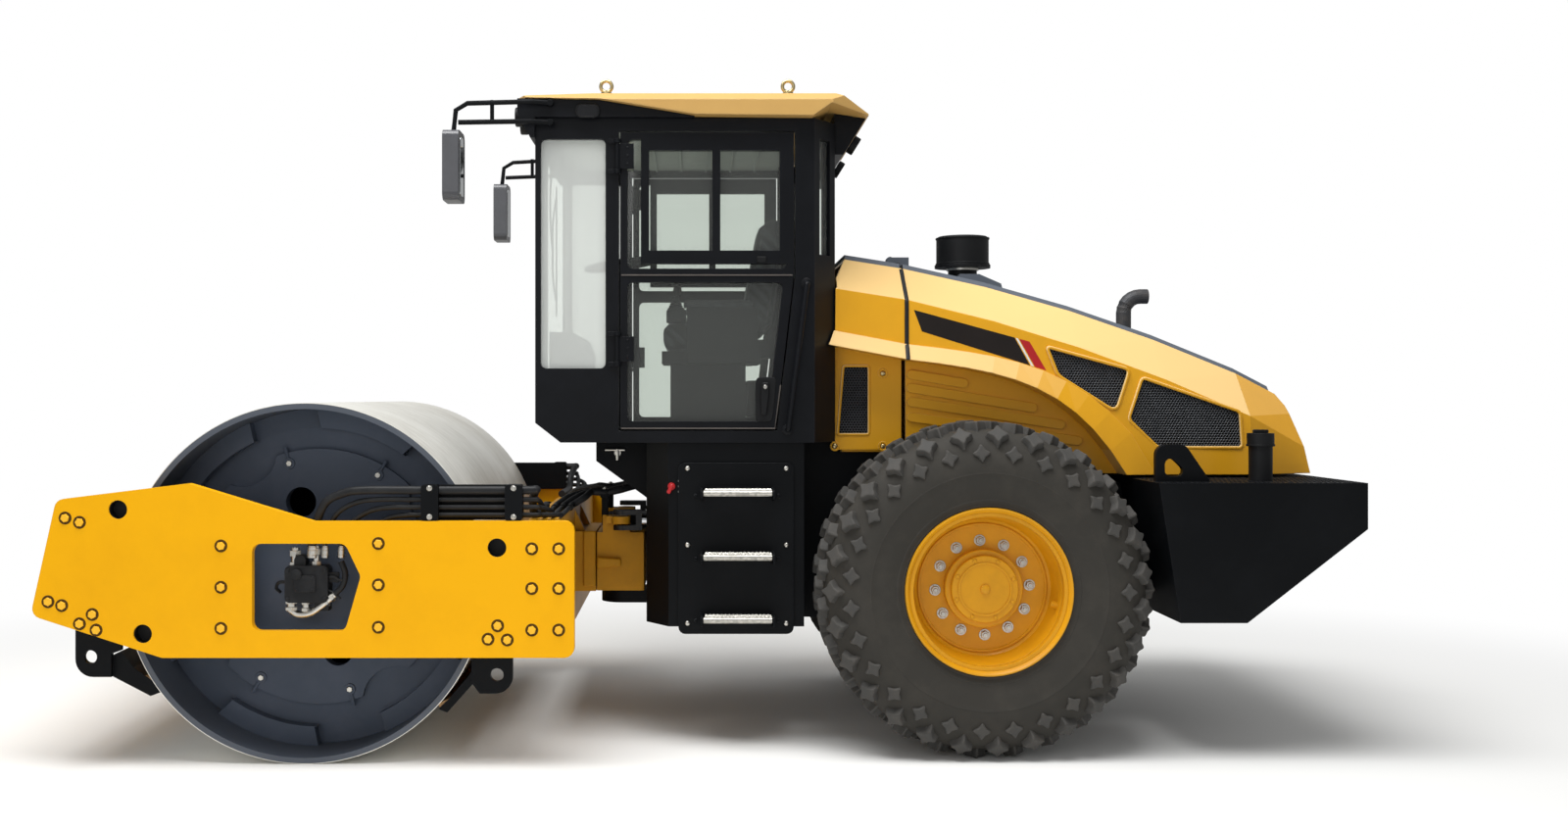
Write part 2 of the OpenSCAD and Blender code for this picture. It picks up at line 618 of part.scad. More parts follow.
module cab_floor() color("#2B2B2E") at_axle() intersection() {
    across(-inner_hw, inner_hw)
        polygon([[-cab_front_len + 112, cab_low], [-cab_rear_len, cab_low], [-cab_rear_len, floor_z],
            [-cab_front_len + wall_t, floor_z], [-cab_front_len + wall_t, cab_low + 52]]);
    translate([0, 0, cab_low - 1]) linear_extrude(floor_z - cab_low + 2)
        polygon([[-cab_front_len, -inner_hw], [pillar_rear, -inner_hw], [-cab_rear_len - wall_t, -chamfer_y + 16],
            [-cab_rear_len - wall_t, chamfer_y - 16], [pillar_rear, inner_hw], [-cab_front_len, inner_hw]]);
}

module cab_front() color("#2B2B2E") at_axle() difference() {
    across(-inner_hw, inner_hw)
        polygon([[-cab_front_len, cab_low + 87], [-cab_front_len + wall_t, cab_low + 52],
            [-cab_front_len + wall_t, cab_top], [-cab_front_len, cab_top]]);
    translate([-cab_front_len - 1, -inner_hw + 20, wind_low])
        cube([wall_t + 2, 2 * inner_hw - 40, cab_top - 80 - wind_low]);
}

door_pts = [[door_front, door_low], [door_foot, door_low], [door_rear, door_mid], [door_rear, door_top],
    [door_front, door_top]];
doorway_pts = [[door_front - door_gap, door_low - door_gap], [door_foot + door_gap, door_low - door_gap],
    [door_rear + door_gap, door_mid], [door_rear + door_gap, door_top + door_gap],
    [door_front - door_gap, door_top + door_gap]];
quarter_pts = rounded(box_pts(-cab_front_len + 24, door_front - 65, cab_low + 328, cab_top - 93), 24);

module cab_sides() color("#2B2B2E") at_axle() both_sides() {
    across(inner_hw, cab_hw) difference() {
        polygon([[-cab_front_len, cab_low + 87], [-cab_front_len + 112, cab_low], [pillar_rear, cab_low],
            [pillar_rear, cab_top], [-cab_front_len, cab_top]]);
        polygon(quarter_pts);
        polygon(doorway_pts);
    }
    for (z = hinge_rows, e = [-76, 58]) translate([hinge_x, hinge_out, z + e]) difference() {
        union() {
            cylinder(r = 15, h = 18);
            translate([-40, cab_hw - hinge_out - 1, 0]) cube([40, hinge_out - cab_hw + 1, 18]);
            translate([-40, cab_hw - hinge_out - 1, 0]) cube([43, 12, 18]);
        }
        translate([0, 0, -1]) cylinder(r = door_pin_r + fit, h = 20);
    }
}

corner_a = atan2(cab_hw - chamfer_y, -cab_rear_len - pillar_rear);
module on_corner() translate([(pillar_rear - cab_rear_len) / 2, (cab_hw + chamfer_y) / 2, 0])
    rotate([0, 0, -corner_a]) children();

module cab_rear() color("#2B2B2E") at_axle() difference() {
    translate([0, 0, cab_low]) linear_extrude(cab_top - cab_low)
        polygon([[pillar_rear, cab_hw], [-cab_rear_len, chamfer_y], [-cab_rear_len, -chamfer_y],
            [pillar_rear, -cab_hw], [pillar_rear, -inner_hw], [-cab_rear_len - wall_t, -chamfer_y + 16],
            [-cab_rear_len - wall_t, chamfer_y - 16], [pillar_rear, inner_hw]]);
    across(-chamfer_y + 40, chamfer_y - 40)
        polygon(box_pts(-cab_rear_len - wall_t - 40, -1, sill_z, cab_top - 85));
    both_sides() on_corner() translate([-46, -150, sill_z]) cube([92, 300, cab_top - 85 - sill_z]);
}

module cab_glass() color("#9FB0A6", 0.4) at_axle() {
    translate([-cab_front_len + 18, -inner_hw + 20 + seat, wind_low + seat])
        cube([glass_t, 2 * inner_hw - 40 - 2 * seat, cab_top - 80 - wind_low - 2 * seat]);
    both_sides() across(cab_hw - 18 - glass_t, cab_hw - 18)
        offset(delta = -seat) polygon(quarter_pts);
    translate([-cab_rear_len - 24 - glass_t, -chamfer_y + 40 + seat, sill_z + seat])
        cube([glass_t, 2 * chamfer_y - 80 - 2 * seat, cab_top - 85 - sill_z - 2 * seat]);
    both_sides() on_corner() translate([-46 + seat, -18 - glass_t, sill_z + seat])
        cube([92 - 2 * seat, glass_t, cab_top - 85 - sill_z - 2 * seat]);
}

roof_front = -cab_front_len - 83;
roof_rear = -cab_rear_len + 147;
roof_pts = [[roof_front, roof_lip], [roof_front, roof_edge], [-cab_front_len + 251, roof_top],
    [-cab_rear_len - 7, roof_top], [roof_rear, cab_top + 36], [roof_rear, cab_top + 28],
    [-cab_rear_len - 33, cab_top + 56], [-cab_rear_len - 114, cab_top], [-cab_front_len + 704, cab_top + 6],
    [-cab_front_len + 285, roof_sag]];

module cab_roof() color("#E9B55C") at_axle() intersection() {
    across(-roof_hw, roof_hw) polygon(roof_pts);
    translate([roof_front - 7, 0, 0]) rotate([90, 0, 90]) linear_extrude(roof_rear - roof_front + 14)
        polygon([[-roof_hw, cab_top - 10], [-roof_hw, roof_side], [-roof_hw + 90, roof_top + 1],
            [roof_hw - 90, roof_top + 1], [roof_hw, roof_side], [roof_hw, cab_top - 10]]);
    translate([0, 0, cab_top - 10]) linear_extrude(roof_top - cab_top + 20)
        polygon([[roof_front, -roof_hw + 120], [roof_front + 63, -roof_hw], [-cab_rear_len - 27, -roof_hw],
            [roof_rear, -roof_hw + 170], [roof_rear, roof_hw - 170], [-cab_rear_len - 27, roof_hw],
            [roof_front + 63, roof_hw], [roof_front, roof_hw - 120]]);
}

module roof_pods() color("#222225") at_axle() {
    across(-pod_hw, pod_hw)
        polygon([[roof_front + 7, roof_lip - 1], [-cab_front_len + 285, roof_sag - 1],
            [-cab_front_len + 704, cab_top + 5], [-cab_front_len + 704, cab_top], [-cab_front_len, cab_top],
            [-cab_front_len, cab_top - 90], [-cab_front_len - 20, cab_top - 90], [roof_front + 7, cab_top + 20]]);
    across(-chamfer_y + 20, chamfer_y - 20)
        polygon([[-cab_rear_len, cab_top + 50], [roof_rear - 6, cab_top + 28],
            [-cab_rear_len + 40, cab_top - 135], [-cab_rear_len, cab_top - 135]]);
}

door_upper = rounded(box_pts(door_front + 31, door_rear - 32, door_mid + 25, door_top - 30), 26);
door_lower = rounded([[door_front + 31, door_low + 35], [door_foot - 36, door_low + 35],
    [door_rear - 46, door_mid - 35], [door_front + 31, door_mid - 35]], 26);
slide_pts = box_pts(door_front + 91, door_rear - 32, door_mid + 47, door_top - 30);
pane_front = box_pts(door_front + 126, door_front + 407, door_mid + 105, door_top - 78);
pane_rear = box_pts(door_front + 442, door_rear - 62, door_mid + 105, door_top - 78);

module door() color("#2B2B2E") at_axle() {
    across(cab_hw - wall_t + 5, cab_hw) {
        difference() {
            polygon(door_pts);
            polygon(door_upper);
            polygon(door_lower);
        }
        difference() {
            intersection() {
                polygon(slide_pts);
                polygon(door_upper);
            }
            polygon(pane_front);
            polygon(pane_rear);
        }
        translate([door_foot - 75, cab_low + 107]) square([47, 169]);
    }
    for (z = hinge_rows) translate([hinge_x, hinge_out, z]) {
        translate([0, 0, -55]) cylinder(r = 11, h = 110);
        translate([0, 0, -76]) cylinder(r = door_pin_r, h = 152);
    }
    for (z = hinge_rows) translate([0, 0, z - 55]) {
        translate([hinge_x, cab_hw + 3, 0]) cube([72, 12, 110]);
        translate([door_front + 6, cab_hw - 1, 0]) cube([54, 14, 110]);
    }
}
module door_right() door();
module door_left() mirror([0, 1, 0]) door();

module door_glass() color("#9FB0A6", 0.4) at_axle() across(cab_hw - 30 - glass_t, cab_hw - 30)
    offset(delta = -seat) {
        difference() {
            polygon(door_lower);
            translate([door_foot - 75, cab_low + 107]) square([47, 169]);
        }
        difference() {
            polygon(door_upper);
            polygon(slide_pts);
        }
        polygon(pane_front);
        polygon(pane_rear);
    }
module door_glass_right() door_glass();
module door_glass_left() mirror([0, 1, 0]) door_glass();

seat_x = -cab_rear_len - wall_t - 539;
module seat_base() color("#1F2023") at_axle() translate([seat_x, 0, 0]) {
    translate([-160, -180, floor_z]) cube([360, 360, 300]);
    translate([-200, -240, floor_z + 299]) cube([470, 480, 60]);
    both_sides() translate([-80, 270, floor_z + 300]) cube([330, 120, 260]);
    both_sides() translate([-20, 230, floor_z + 310]) cube([220, 45, 40]);
    translate([0, 0, floor_z]) across(-80, 80)
        polygon([[180, 330], [330, 330], [420, 800], [358.6, 800], [300.6, 419.7], [180, 419.7]]);
}
module seat_cushions() color("#34353A") at_axle() translate([seat_x, 0, 0]) {
    across(-245, 245) polygon(rounded(box_pts(-215, 170, floor_z + 359, floor_z + 490), 40));
    across(-235, 235)
        polygon(rounded([[175, floor_z + 420], [300, floor_z + 420], [390, floor_z + 1010], [290, floor_z + 1010]], 40));
}

column_x = -cab_front_len + 311;
module steering_column() color("#232427") at_axle() {
    translate([column_x + 37, 0, floor_z + 790]) rotate([0, -8, 0]) {
        rotate_extrude() translate([172, 0]) circle(14, $fn = 16);
        for (a = [90, 210, 330]) rotate([0, 0, a]) rod_x(10, 20, 170);
        translate([0, 0, -30]) cylinder(r = 48, h = 40);
    }
    translate([column_x, 0, floor_z]) cylinder(r = 42, h = 754);
    translate([column_x, 0, floor_z + 724]) rotate([0, 38, 0]) cylinder(r = 34, h = 70);
}

module console() color("#3C3E43") at_axle() across(-620, 620)
    polygon([[-cab_front_len + wall_t, floor_z], [-cab_front_len + 161, floor_z],
        [-cab_front_len + 181, floor_z + 354], [-cab_front_len + 151, floor_z + 434], [-cab_front_len + wall_t, floor_z + 434]]);

mirror_x = -cab_front_len - 345;
mirror_y = roof_hw + 30;
arm_x = -cab_front_len + 71;
module mirror_arms() color("#17191D") at_axle() both_sides() {
    for (z = [-28, 58]) translate([arm_x, 0, cab_top + z]) rod_y(14, pod_hw + seat, pod_hw + 30);
    tube([[arm_x, pod_hw + 16, cab_top + 58], [arm_x - 80, roof_hw + 6, cab_top + 58],
        [mirror_x + 60, mirror_y, cab_top + 46], [mirror_x + 10, mirror_y, cab_top + 16],
        [mirror_x, mirror_y, cab_top - 78]], 11);
    tube([[arm_x, pod_hw + 16, cab_top - 28], [arm_x - 80, roof_hw + 6, cab_top - 28],
        [mirror_x + 20, mirror_y, cab_top - 37]], 11);
    translate([arm_x - 250, lerp(roof_hw, mirror_y, 0.56), cab_top - 42]) cylinder(r = 9, h = 104);
}
module mirror_heads() color("#1D1E21") at_axle() both_sides()
    translate([mirror_x - 35, mirror_y - 95, cab_top - 385])
        rotate([90, 0, 90]) linear_extrude(70) polygon(rounded(box_pts(0, 190, 0, 305), 34));

module lamps() color("#E8E6DC") at_axle() {
    both_sides() for (y = [350, 560]) translate([roof_front - 17, y, cab_top + 38]) rotate([0, 90, 0])
        cylinder(r = 38, h = 24 - seat);
    both_sides() translate([-cab_rear_len + 91, 380, cab_top - 53]) rotate([0, 121.8, 0]) translate([0, 0, seat + 0.5])
        cylinder(r = 38, h = 30);
    both_sides() across(pod_hw + seat, pod_hw + 12) 
        polygon(rounded(box_pts(-cab_front_len + 189, -cab_front_len + 279, cab_top + 2, cab_top + 48), 20));
}

module roof_eyes() color("#C99A2E") at_axle() both_sides() for (x = [-cab_front_len + 306, -cab_rear_len - 212])
    translate([x, roof_hw - 220, 0]) {
    translate([0, 0, roof_top]) cylinder(r = 24, h = 28);
    translate([0, 0, roof_top + 56]) rotate([90, 0, 0]) rotate_extrude() translate([25, 0]) circle(8, $fn = 16);
    translate([0, 0, roof_top + 27]) cylinder(r = 9, h = 10);
}

module hood_body(stations, inset)
    loft([for (x = stations) let (k = taper(x), z = crest(x) - inset, s = shoulder(x) - inset * 0.4) [
        [x, -(top_hw - inset * 0.6) * k, z], [x, (top_hw - inset * 0.6) * k, z],
        [x, (side_hw - inset) * k, s], [x, (side_hw + 14 - inset) * k, deck_z - 60],
        [x, -(side_hw + 14 - inset) * k, deck_z - 60], [x, -(side_hw - inset) * k, s]]]);
lip_outer = [[70, side_hw - 14], [70, side_hw + 12], [0, lip_hw], [0, side_hw - 14]];
lip_web = [[14, panel_hw - panel_t], [14, side_hw - 4], [0, side_hw - 4], [0, panel_hw - panel_t]];

// Plan of the cab's rear end with free room behind it
module cab_room() translate([0, 0, cab_low - 100]) linear_extrude(cab_top - cab_low)
    polygon([[-1000, -800], [pillar_rear + cab_free, -800], [pillar_rear + cab_free, -cab_hw],
        [-cab_rear_len + cab_free, -chamfer_y], [-cab_rear_len + cab_free, chamfer_y],
        [pillar_rear + cab_free, cab_hw], [pillar_rear + cab_free, 800], [-1000, 800]]);

module cowl_shell() color("#DDA321") at_axle() difference() {
    union() {
        intersection() {
            difference() {
                hood_body([-700, -seam_len], 0);
                hood_body([-701, -seam_len + 1], hood_t);
            }
            across(-800, 800) polygon(concat(arch_front,
                [[-seam_len, 2400], [-553, 2400], [-553, crest(-553)], [-cab_rear_len - 13, 2044], [cowl_lip, 1860]]));
        }
        both_sides() {
            strip(arch_front, lip_outer);
            strip(arch_front, lip_web);
            translate([-570, rail_hw - 35, 1296 + seat]) cube([230, panel_hw - rail_hw + 20, 24]);
            across(panel_hw - panel_t, panel_hw) difference() {
                polygon([[cowl_lip, 1306], [-seam_len - 10, 1306], [-seam_len - 10, 1722], [cowl_lip, 1786]]);
                polygon(grille_pts);
            }
        }
    }
    cab_room();
}
grille_pts = [[-592, 1376], [-448, 1376], [-448, 1690], [-566, 1690]];

module cowl_grilles() color("#1B1C1E") at_axle() both_sides()
    across(panel_hw - panel_t + 4, panel_hw - 6) offset(delta = -seat) polygon(grille_pts);

// Mesh windows, which keep clear of the lip when larger tyres move it
mesh_x = 688 * max(spread - 1, 0);
mesh_a = [for (p = [[338, 1775], [703, 1675], [708, 1655], [659, 1500], [633, 1491], [390, 1645]])
    p + [mesh_x, 0]];
mesh_b = [for (p = [[770, 1636], [1211, 1482], [1222, 1319], [840, 1319], [708, 1447]]) p + [mesh_x, 0]];

module hood_shell() color("#DDA321") at_axle() {
    difference() {
        intersection() {
            difference() {
                hood_body(hood_stations, 0);
                hood_body([-seam_len + 7, 100, 490, 880, 1260, hood_tip - 10], hood_t);
            }
            across(-800, 800) polygon(concat(arch_rear,
                [[hood_heel, deck_z + 14], [hood_heel - 80, deck_z + 323], [hood_tip + 22, crest(hood_tip + 22)],
                    [hood_tip, 2400], [-seam_len + 8, 2400]]));
        }
        for (w = [mesh_a, mesh_b]) both_sides() across(470, 800) polygon(w);
    }
    both_sides() {
        strip(arch_rear, lip_outer, 2, [1, 0]);
        strip(arch_rear, lip_web, 1, [1, 0]);
    }
}

module hood_grilles() color("#1B1C1E") at_axle() intersection() {
    difference() {
        hood_body(hood_stations, 6);
        hood_body(hood_stations, 14);
    }
    both_sides() for (w = [mesh_a, mesh_b]) across(470, 800) offset(delta = -seat) polygon(w);
}

module top_strip(stations) loft([for (x = stations) let (w = (top_hw - 20) * taper(x))
    [[x, -w, crest(x) + seat], [x, -w + 30, crest(x) + 26], [x, w - 30, crest(x) + 26], [x, w, crest(x) + seat]]]);

module hood_top() color("#555C66") at_axle() difference() {
    union() {
        top_strip([-seam_len + 12, 100, 490, 880, 1260, hood_tip]);
        across(-150, 150) polygon([[cleaner_x - 52, crest(cleaner_x - 52) + 10], [cleaner_x - 37, ridge_front - 4],
            [cleaner_x + 55, ridge_front - 4], [cleaner_x + 160, ridge_front - 50],
            [cleaner_x + 178, crest(cleaner_x + 178) + 10]]);
        both_sides() translate([ridge_pin_x, 0, ridge_pin_z]) {
            rod_y(16, ridge_pin_y - 16, ridge_pin_y + 16);
            translate([0, ridge_pin_y - 16, -12]) cube([90, 32, 26]);
            translate([44, ridge_pin_y - 16, -46]) cube([46, 32, 50]);
        }
    }
    both_sides() translate([ridge_pin_x, 0, ridge_pin_z]) rod_y(8 + fit, ridge_pin_y - 17, ridge_pin_y + 17);
    translate([cleaner_x, 0, ridge_rear]) cylinder(r = neck_r + seat, h = 900);
    translate([pipe_x, 0, ridge_rear]) cylinder(r = pipe_r + seat, h = 900);
}
module cowl_top() color("#555C66") at_axle() {
    top_strip([-548, -seam_len - 4]);
    both_sides() translate([ridge_pin_x, 0, ridge_pin_z]) {
        rod_y(8, ridge_pin_y - 26, ridge_pin_y + 26);
        for (y = [ridge_pin_y - 26, ridge_pin_y + 18]) {
            rod_y(16, y, y + 8);
            translate([-16, y, -40]) cube([32, 8, 40]);
        }
    }
}

// Pressed ribs of the lower panels: height at the seam's end, then the rear end
rib_rows = [[-64, -17, -104], [-126, 300, -216], [-189, 429, -293], [-259, 506, -367]];
module hood_panels() color("#DDA321") at_axle() both_sides() {
    across(panel_hw - panel_t, panel_hw)
        polygon(concat(arch_rear, [[600, deck_z + 14], [-seam_len + 10, 1306]]));
    for (r = rib_rows) across(panel_hw - 1, panel_hw + 14)
        polygon(stadium([-seam_len + 36, arch_z + r[0]], [r[1], arch_z + r[2]], 21));
}

bowl_z = ridge_front + 49;
cleaner_x = 67;
neck_r = 70;
pipe_x = 857;
pipe_top = ridge_front - 103;
module pre_cleaner() color("#1B1C1E") at_axle() translate([cleaner_x, 0, 0]) {
    translate([0, 0, crest(cleaner_x - neck_r) + seat])
        cylinder(r = neck_r, h = bowl_z - 12 - crest(cleaner_x - neck_r));
    translate([0, 0, bowl_z - 14]) cylinder(r = bowl_r + 8, h = 15);
    translate([0, 0, bowl_z]) cylinder(r = bowl_r, h = 132);
    translate([0, 0, bowl_z + 131]) cylinder(r1 = bowl_r, r2 = bowl_r - 10, h = 9);
}

module exhaust() color("#3A3B3D") at_axle() translate([pipe_x, 0, 0]) difference() {
    tube(concat([[0, 0, crest(pipe_x - pipe_r) + seat]], 
        [for (a = [0:15:90]) [80 - 80 * cos(a), 0, pipe_top - 80 + 80 * sin(a)]], [[116, 0, pipe_top]]), pipe_r, 20);
    translate([0, 0, pipe_top]) rod_x(pipe_r - 6, 86, 117);
}

rear_chassis();
side_tanks();
step_panels();
step_treads();
tail_ballast();
tank_filler();
rear_axle();
engine_block();
cowl_shell();
cowl_grilles();
cowl_top();
cab_floor();
cab_front();
cab_sides();
cab_rear();
cab_glass();
cab_roof();
roof_pods();
seat_base();
seat_cushions();
steering_column();
console();
mirror_arms();
mirror_heads();
lamps();
roof_eyes();
yoke();
barrel_left();
barrel_right();
rod_left();
rod_right();
side_plates();
front_beam();
rear_beam();
drum_carriers();
drum_motors();
scrapers();
hose_clamps();
drum_hoses();
drum_shell();
drum_heads();
tyre_left();
rim_left();
tyre_right();
rim_right();
door_left();
door_glass_left();
door_right();
door_glass_right();
hood_shell();
hood_grilles();
hood_top();
hood_panels();
pre_cleaner();
exhaust();
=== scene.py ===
# %% [markdown]
# A single-drum road roller: a steel drum in a yellow front frame, a pivot in the middle, and a black rear
# frame with a glazed cab, a tilting yellow hood and two lugged tyres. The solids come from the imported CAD
# frame, in metres. This lesson gives each of them its finish and adds the small pieces that a maker would
# buy in or bolt on.

# %% Load the frame
import math
import bmesh
import bpy
from mathutils import Matrix, Vector


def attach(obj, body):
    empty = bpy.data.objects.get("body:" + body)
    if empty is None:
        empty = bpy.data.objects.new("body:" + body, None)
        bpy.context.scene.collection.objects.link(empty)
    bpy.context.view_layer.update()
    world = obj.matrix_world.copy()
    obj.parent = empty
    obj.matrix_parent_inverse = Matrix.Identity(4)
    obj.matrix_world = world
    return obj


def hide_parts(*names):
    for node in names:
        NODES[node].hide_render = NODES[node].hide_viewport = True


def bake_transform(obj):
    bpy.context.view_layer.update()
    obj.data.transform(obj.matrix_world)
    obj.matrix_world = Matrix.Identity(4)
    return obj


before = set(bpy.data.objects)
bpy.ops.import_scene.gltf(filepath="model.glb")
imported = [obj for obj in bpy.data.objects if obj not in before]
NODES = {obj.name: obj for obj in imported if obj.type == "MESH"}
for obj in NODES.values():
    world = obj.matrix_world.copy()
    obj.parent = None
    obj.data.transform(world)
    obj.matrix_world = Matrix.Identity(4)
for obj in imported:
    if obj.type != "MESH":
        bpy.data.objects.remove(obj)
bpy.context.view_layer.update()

MM = 0.001

# %% [markdown]
# The camera stands level on the left side, about 6.4 m off the side plates. Its focal length and the point
# that it looks at were worked out in pixels of the picture, so both are written that way and turned into a
# lens and a shift. A shift keeps the uprights upright, as a view camera does, where tilting the camera
# would make them lean.

# %% Camera
IMAGE_PX = (1600, 848)
FOCAL_PX = 1574
CENTRE_PX = (708, 405)
camera = bpy.data.objects.new("camera", bpy.data.cameras.new("camera"))
bpy.context.scene.collection.objects.link(camera)
camera.data.sensor_width = 36
camera.data.lens = camera.data.sensor_width * FOCAL_PX / IMAGE_PX[0]
camera.data.shift_x = (IMAGE_PX[0] / 2 - CENTRE_PX[0]) / IMAGE_PX[0]
camera.data.shift_y = (CENTRE_PX[1] - IMAGE_PX[1] / 2) / IMAGE_PX[0]
camera.location = (-0.048, -7.565, 1.548)
camera.rotation_euler = (math.radians(90), 0, 0)
bpy.context.scene.camera = camera
shift = [round(s, 4) for s in (camera.data.shift_x, camera.data.shift_y)]
print("lens", round(camera.data.lens, 2), "mm, shift", shift)

# %% [markdown]
# One function turns a colour as a painter writes it, an sRGB hex value, into the linear numbers that a
# shader wants. Another adds a node to any tree with its settings and links. A few short ones stand for the
# nodes that come up most, so a finish or a Geometry Nodes tree reads like a sum.

# %% Colours and nodes
def linear(hex_code):
    parts = [int(hex_code[i:i + 2], 16) / 255 for i in (1, 3, 5)]
    return tuple(c / 12.92 if c <= 0.04045 else ((c + 0.055) / 1.055) ** 2.4 for c in parts) + (1.0,)


def feed(node, inputs):
    """Sets inputs of a node: a value, a socket to link, or a node whose first output is linked."""
    for socket, value in inputs.items():
        if isinstance(value, bpy.types.Node):
            value = value.outputs[0]
        if isinstance(value, bpy.types.NodeSocket):
            node.id_data.links.new(value, node.inputs[socket])
        else:
            node.inputs[socket].default_value = value


def add(tree, kind, inputs=None, **settings):
    kind = kind if kind.startswith(("Geometry", "Function", "NodeGroup")) else "ShaderNode" + kind
    node = tree.nodes.new(kind)
    for name, value in settings.items():
        setattr(node, name, value)
    feed(node, inputs or {})
    return node


def blank(name):
    """A new material, with its tree, its shader and its texture coordinates."""
    material = bpy.data.materials.new(name)
    material.use_nodes = True
    tree = material.node_tree
    return material, tree, tree.nodes["Principled BSDF"], add(tree, "TexCoord").outputs


def calc(tree, operation, *inputs):
    return add(tree, "Math", dict(enumerate(inputs)), operation=operation).outputs[0]


def vector(tree, operation, *inputs):
    node = add(tree, "VectorMath", dict(enumerate(inputs)), operation=operation)
    return node.outputs["Value" if operation in ("LENGTH", "DOT_PRODUCT") else "Vector"]


def axes(tree, place):
    return add(tree, "SeparateXYZ", {0: place}).outputs


def ramp(tree, value, start, end, low=0.0, high=1.0, **settings):
    """Runs from low to high as the value runs from start to end."""
    span = {"Value": value, "From Min": start, "From Max": end, "To Min": low, "To Max": high}
    return add(tree, "MapRange", span, **settings).outputs[0]


def mix(tree, amount, first, second):
    """A colour between two, each a hex value or a socket."""
    first, second = [linear(c) if isinstance(c, str) else c for c in (first, second)]
    return add(tree, "Mix", {0: amount, 6: first, 7: second}, data_type="RGBA").outputs[2]


def noise(tree, place, scale, detail=2.0, roughness=0.5):
    grain = {"Vector": place, "Scale": scale, "Detail": detail, "Roughness": roughness}
    return add(tree, "TexNoise", grain).outputs["Fac"]


print("linear mid grey", round(linear("#808080")[0], 3))

# %% [markdown]
# The studio is a pale floor under soft light. Rays that go straight to the camera, or through glass, see a
# white world. All other rays see a dimmer one, which is the fill light and keeps white reflections off the
# paint. The floor fades to white away from the machine, so only the shadow under it stays.

# %% Studio
FILL = 0.38


def straight(tree):
    """One for a ray that goes straight to the camera or through glass, nought for any other."""
    path = add(tree, "LightPath").outputs
    return calc(tree, "MAXIMUM", path["Is Camera Ray"], path["Is Transmission Ray"])


world = bpy.data.worlds.new("white_studio")
bpy.context.scene.world = world
world.use_nodes = True
tree = world.node_tree
tree.nodes.clear()
level = ramp(tree, straight(tree), 0, 1, FILL)
sky = add(tree, "Background", {"Color": linear("#FFFFFF"), "Strength": level})
add(tree, "OutputWorld", {"Surface": sky})


def soft_box(name, place, aim, size, watts):
    lamp = bpy.data.objects.new(name, bpy.data.lights.new(name, "AREA"))
    bpy.context.scene.collection.objects.link(lamp)
    lamp.data.shape = "RECTANGLE"
    lamp.data.size, lamp.data.size_y = size
    lamp.data.energy = watts
    lamp.location = place
    lamp.rotation_euler = (Vector(aim) - Vector(place)).to_track_quat("-Z", "Y").to_euler()


soft_box("key_overhead", (-1.0, -2.2, 8.0), (0, 0, 1.0), (7, 4), 780)
soft_box("front_fill", (-3.0, -8.0, 3.2), (0, 0, 1.2), (5, 3), 60)

bpy.ops.mesh.primitive_plane_add(size=60)
floor = bpy.context.object
floor.name = "floor"
studio_floor, tree, shader, place = blank("studio_floor")
tree.nodes.remove(shader)
far = vector(tree, "LENGTH", vector(tree, "MULTIPLY", place["Object"], (0.8, 1.0, 0.0)))
fade = ramp(tree, far, 2.4, 5.5, interpolation_type="SMOOTHSTEP")
matt = add(tree, "BsdfDiffuse", {"Color": linear("#F4F4F2")})
glow = add(tree, "Emission", {"Color": linear("#FFFFFF"), "Strength": 1.0})
both = add(tree, "MixShader", {0: calc(tree, "MULTIPLY", fade, straight(tree)), 1: matt, 2: glow})
feed(tree.nodes["Material Output"], {"Surface": both})
floor.data.materials.append(studio_floor)
bpy.context.scene.view_settings.view_transform = "Standard"

# %% [markdown]
# Most of the machine is painted or moulded, so those finishes share one recipe. A large soft pattern shifts
# the colour a little, as dust and weather do, and a fine one gives the skin of the paint or the grain of
# the moulding. The Bevel node rounds every sharp edge of the solids by a few millimetres, and where it
# bends the surface most the paint turns to a second colour, partly wear and partly a painted highlight.
# Faces that look up can be painted paler still, a painted highlight from the light above. All patterns
# read Object coordinates, so their sizes are true millimetres.

# %% Painted and moulded finishes
def finish(name, colour, dusty, patch_mm, grain_mm, grain_depth_mm, rough, edge_wear_and_highlight_colour, edge_mm=4.0, edge_wear_and_highlight_amount=0.5,
           coat=0.0, metallic=0.0, shine=0.5, painted_highlight_colour=None):
    material, tree, shader, place = blank(name)
    patch = noise(tree, place["Object"], 1000 / patch_mm, 6.0, 0.65)
    grain = noise(tree, place["Object"], 1000 / grain_mm)
    paint = mix(tree, ramp(tree, patch, 0.45, 0.8), colour, dusty)
    rounded = add(tree, "Bevel", {"Radius": edge_mm * MM}, samples=4)
    bend = vector(tree, "DOT_PRODUCT", rounded, add(tree, "NewGeometry").outputs["Normal"])
    # The edge colour is partly wear and partly a painted highlight on the rounded edge.
    edge_wear_and_highlight_mask = ramp(tree, bend, 0.995, 0.82, 0.0, edge_wear_and_highlight_amount)
    paint = mix(tree, calc(tree, "MULTIPLY", edge_wear_and_highlight_mask, patch), paint, edge_wear_and_highlight_colour)
    # Upward faces are painted paler: a painted highlight from the light above.
    if painted_highlight_colour:
        lean = axes(tree, place["Normal"])
        painted_highlight_mask = calc(tree, "SUBTRACT", lean["Z"], lean["X"])
        paint = mix(tree, ramp(tree, painted_highlight_mask, 0.1, 0.35), paint, painted_highlight_colour)
    skin = {"Strength": 0.6, "Distance": grain_depth_mm * MM, "Height": grain, "Normal": rounded}
    feed(shader, {"Base Color": paint, "Roughness": ramp(tree, patch, 0, 1, *rough),
                  "Normal": add(tree, "Bump", skin), "Metallic": metallic, "Specular IOR Level": shine,
                  "Coat Weight": coat, "Coat Roughness": 0.12})
    return material


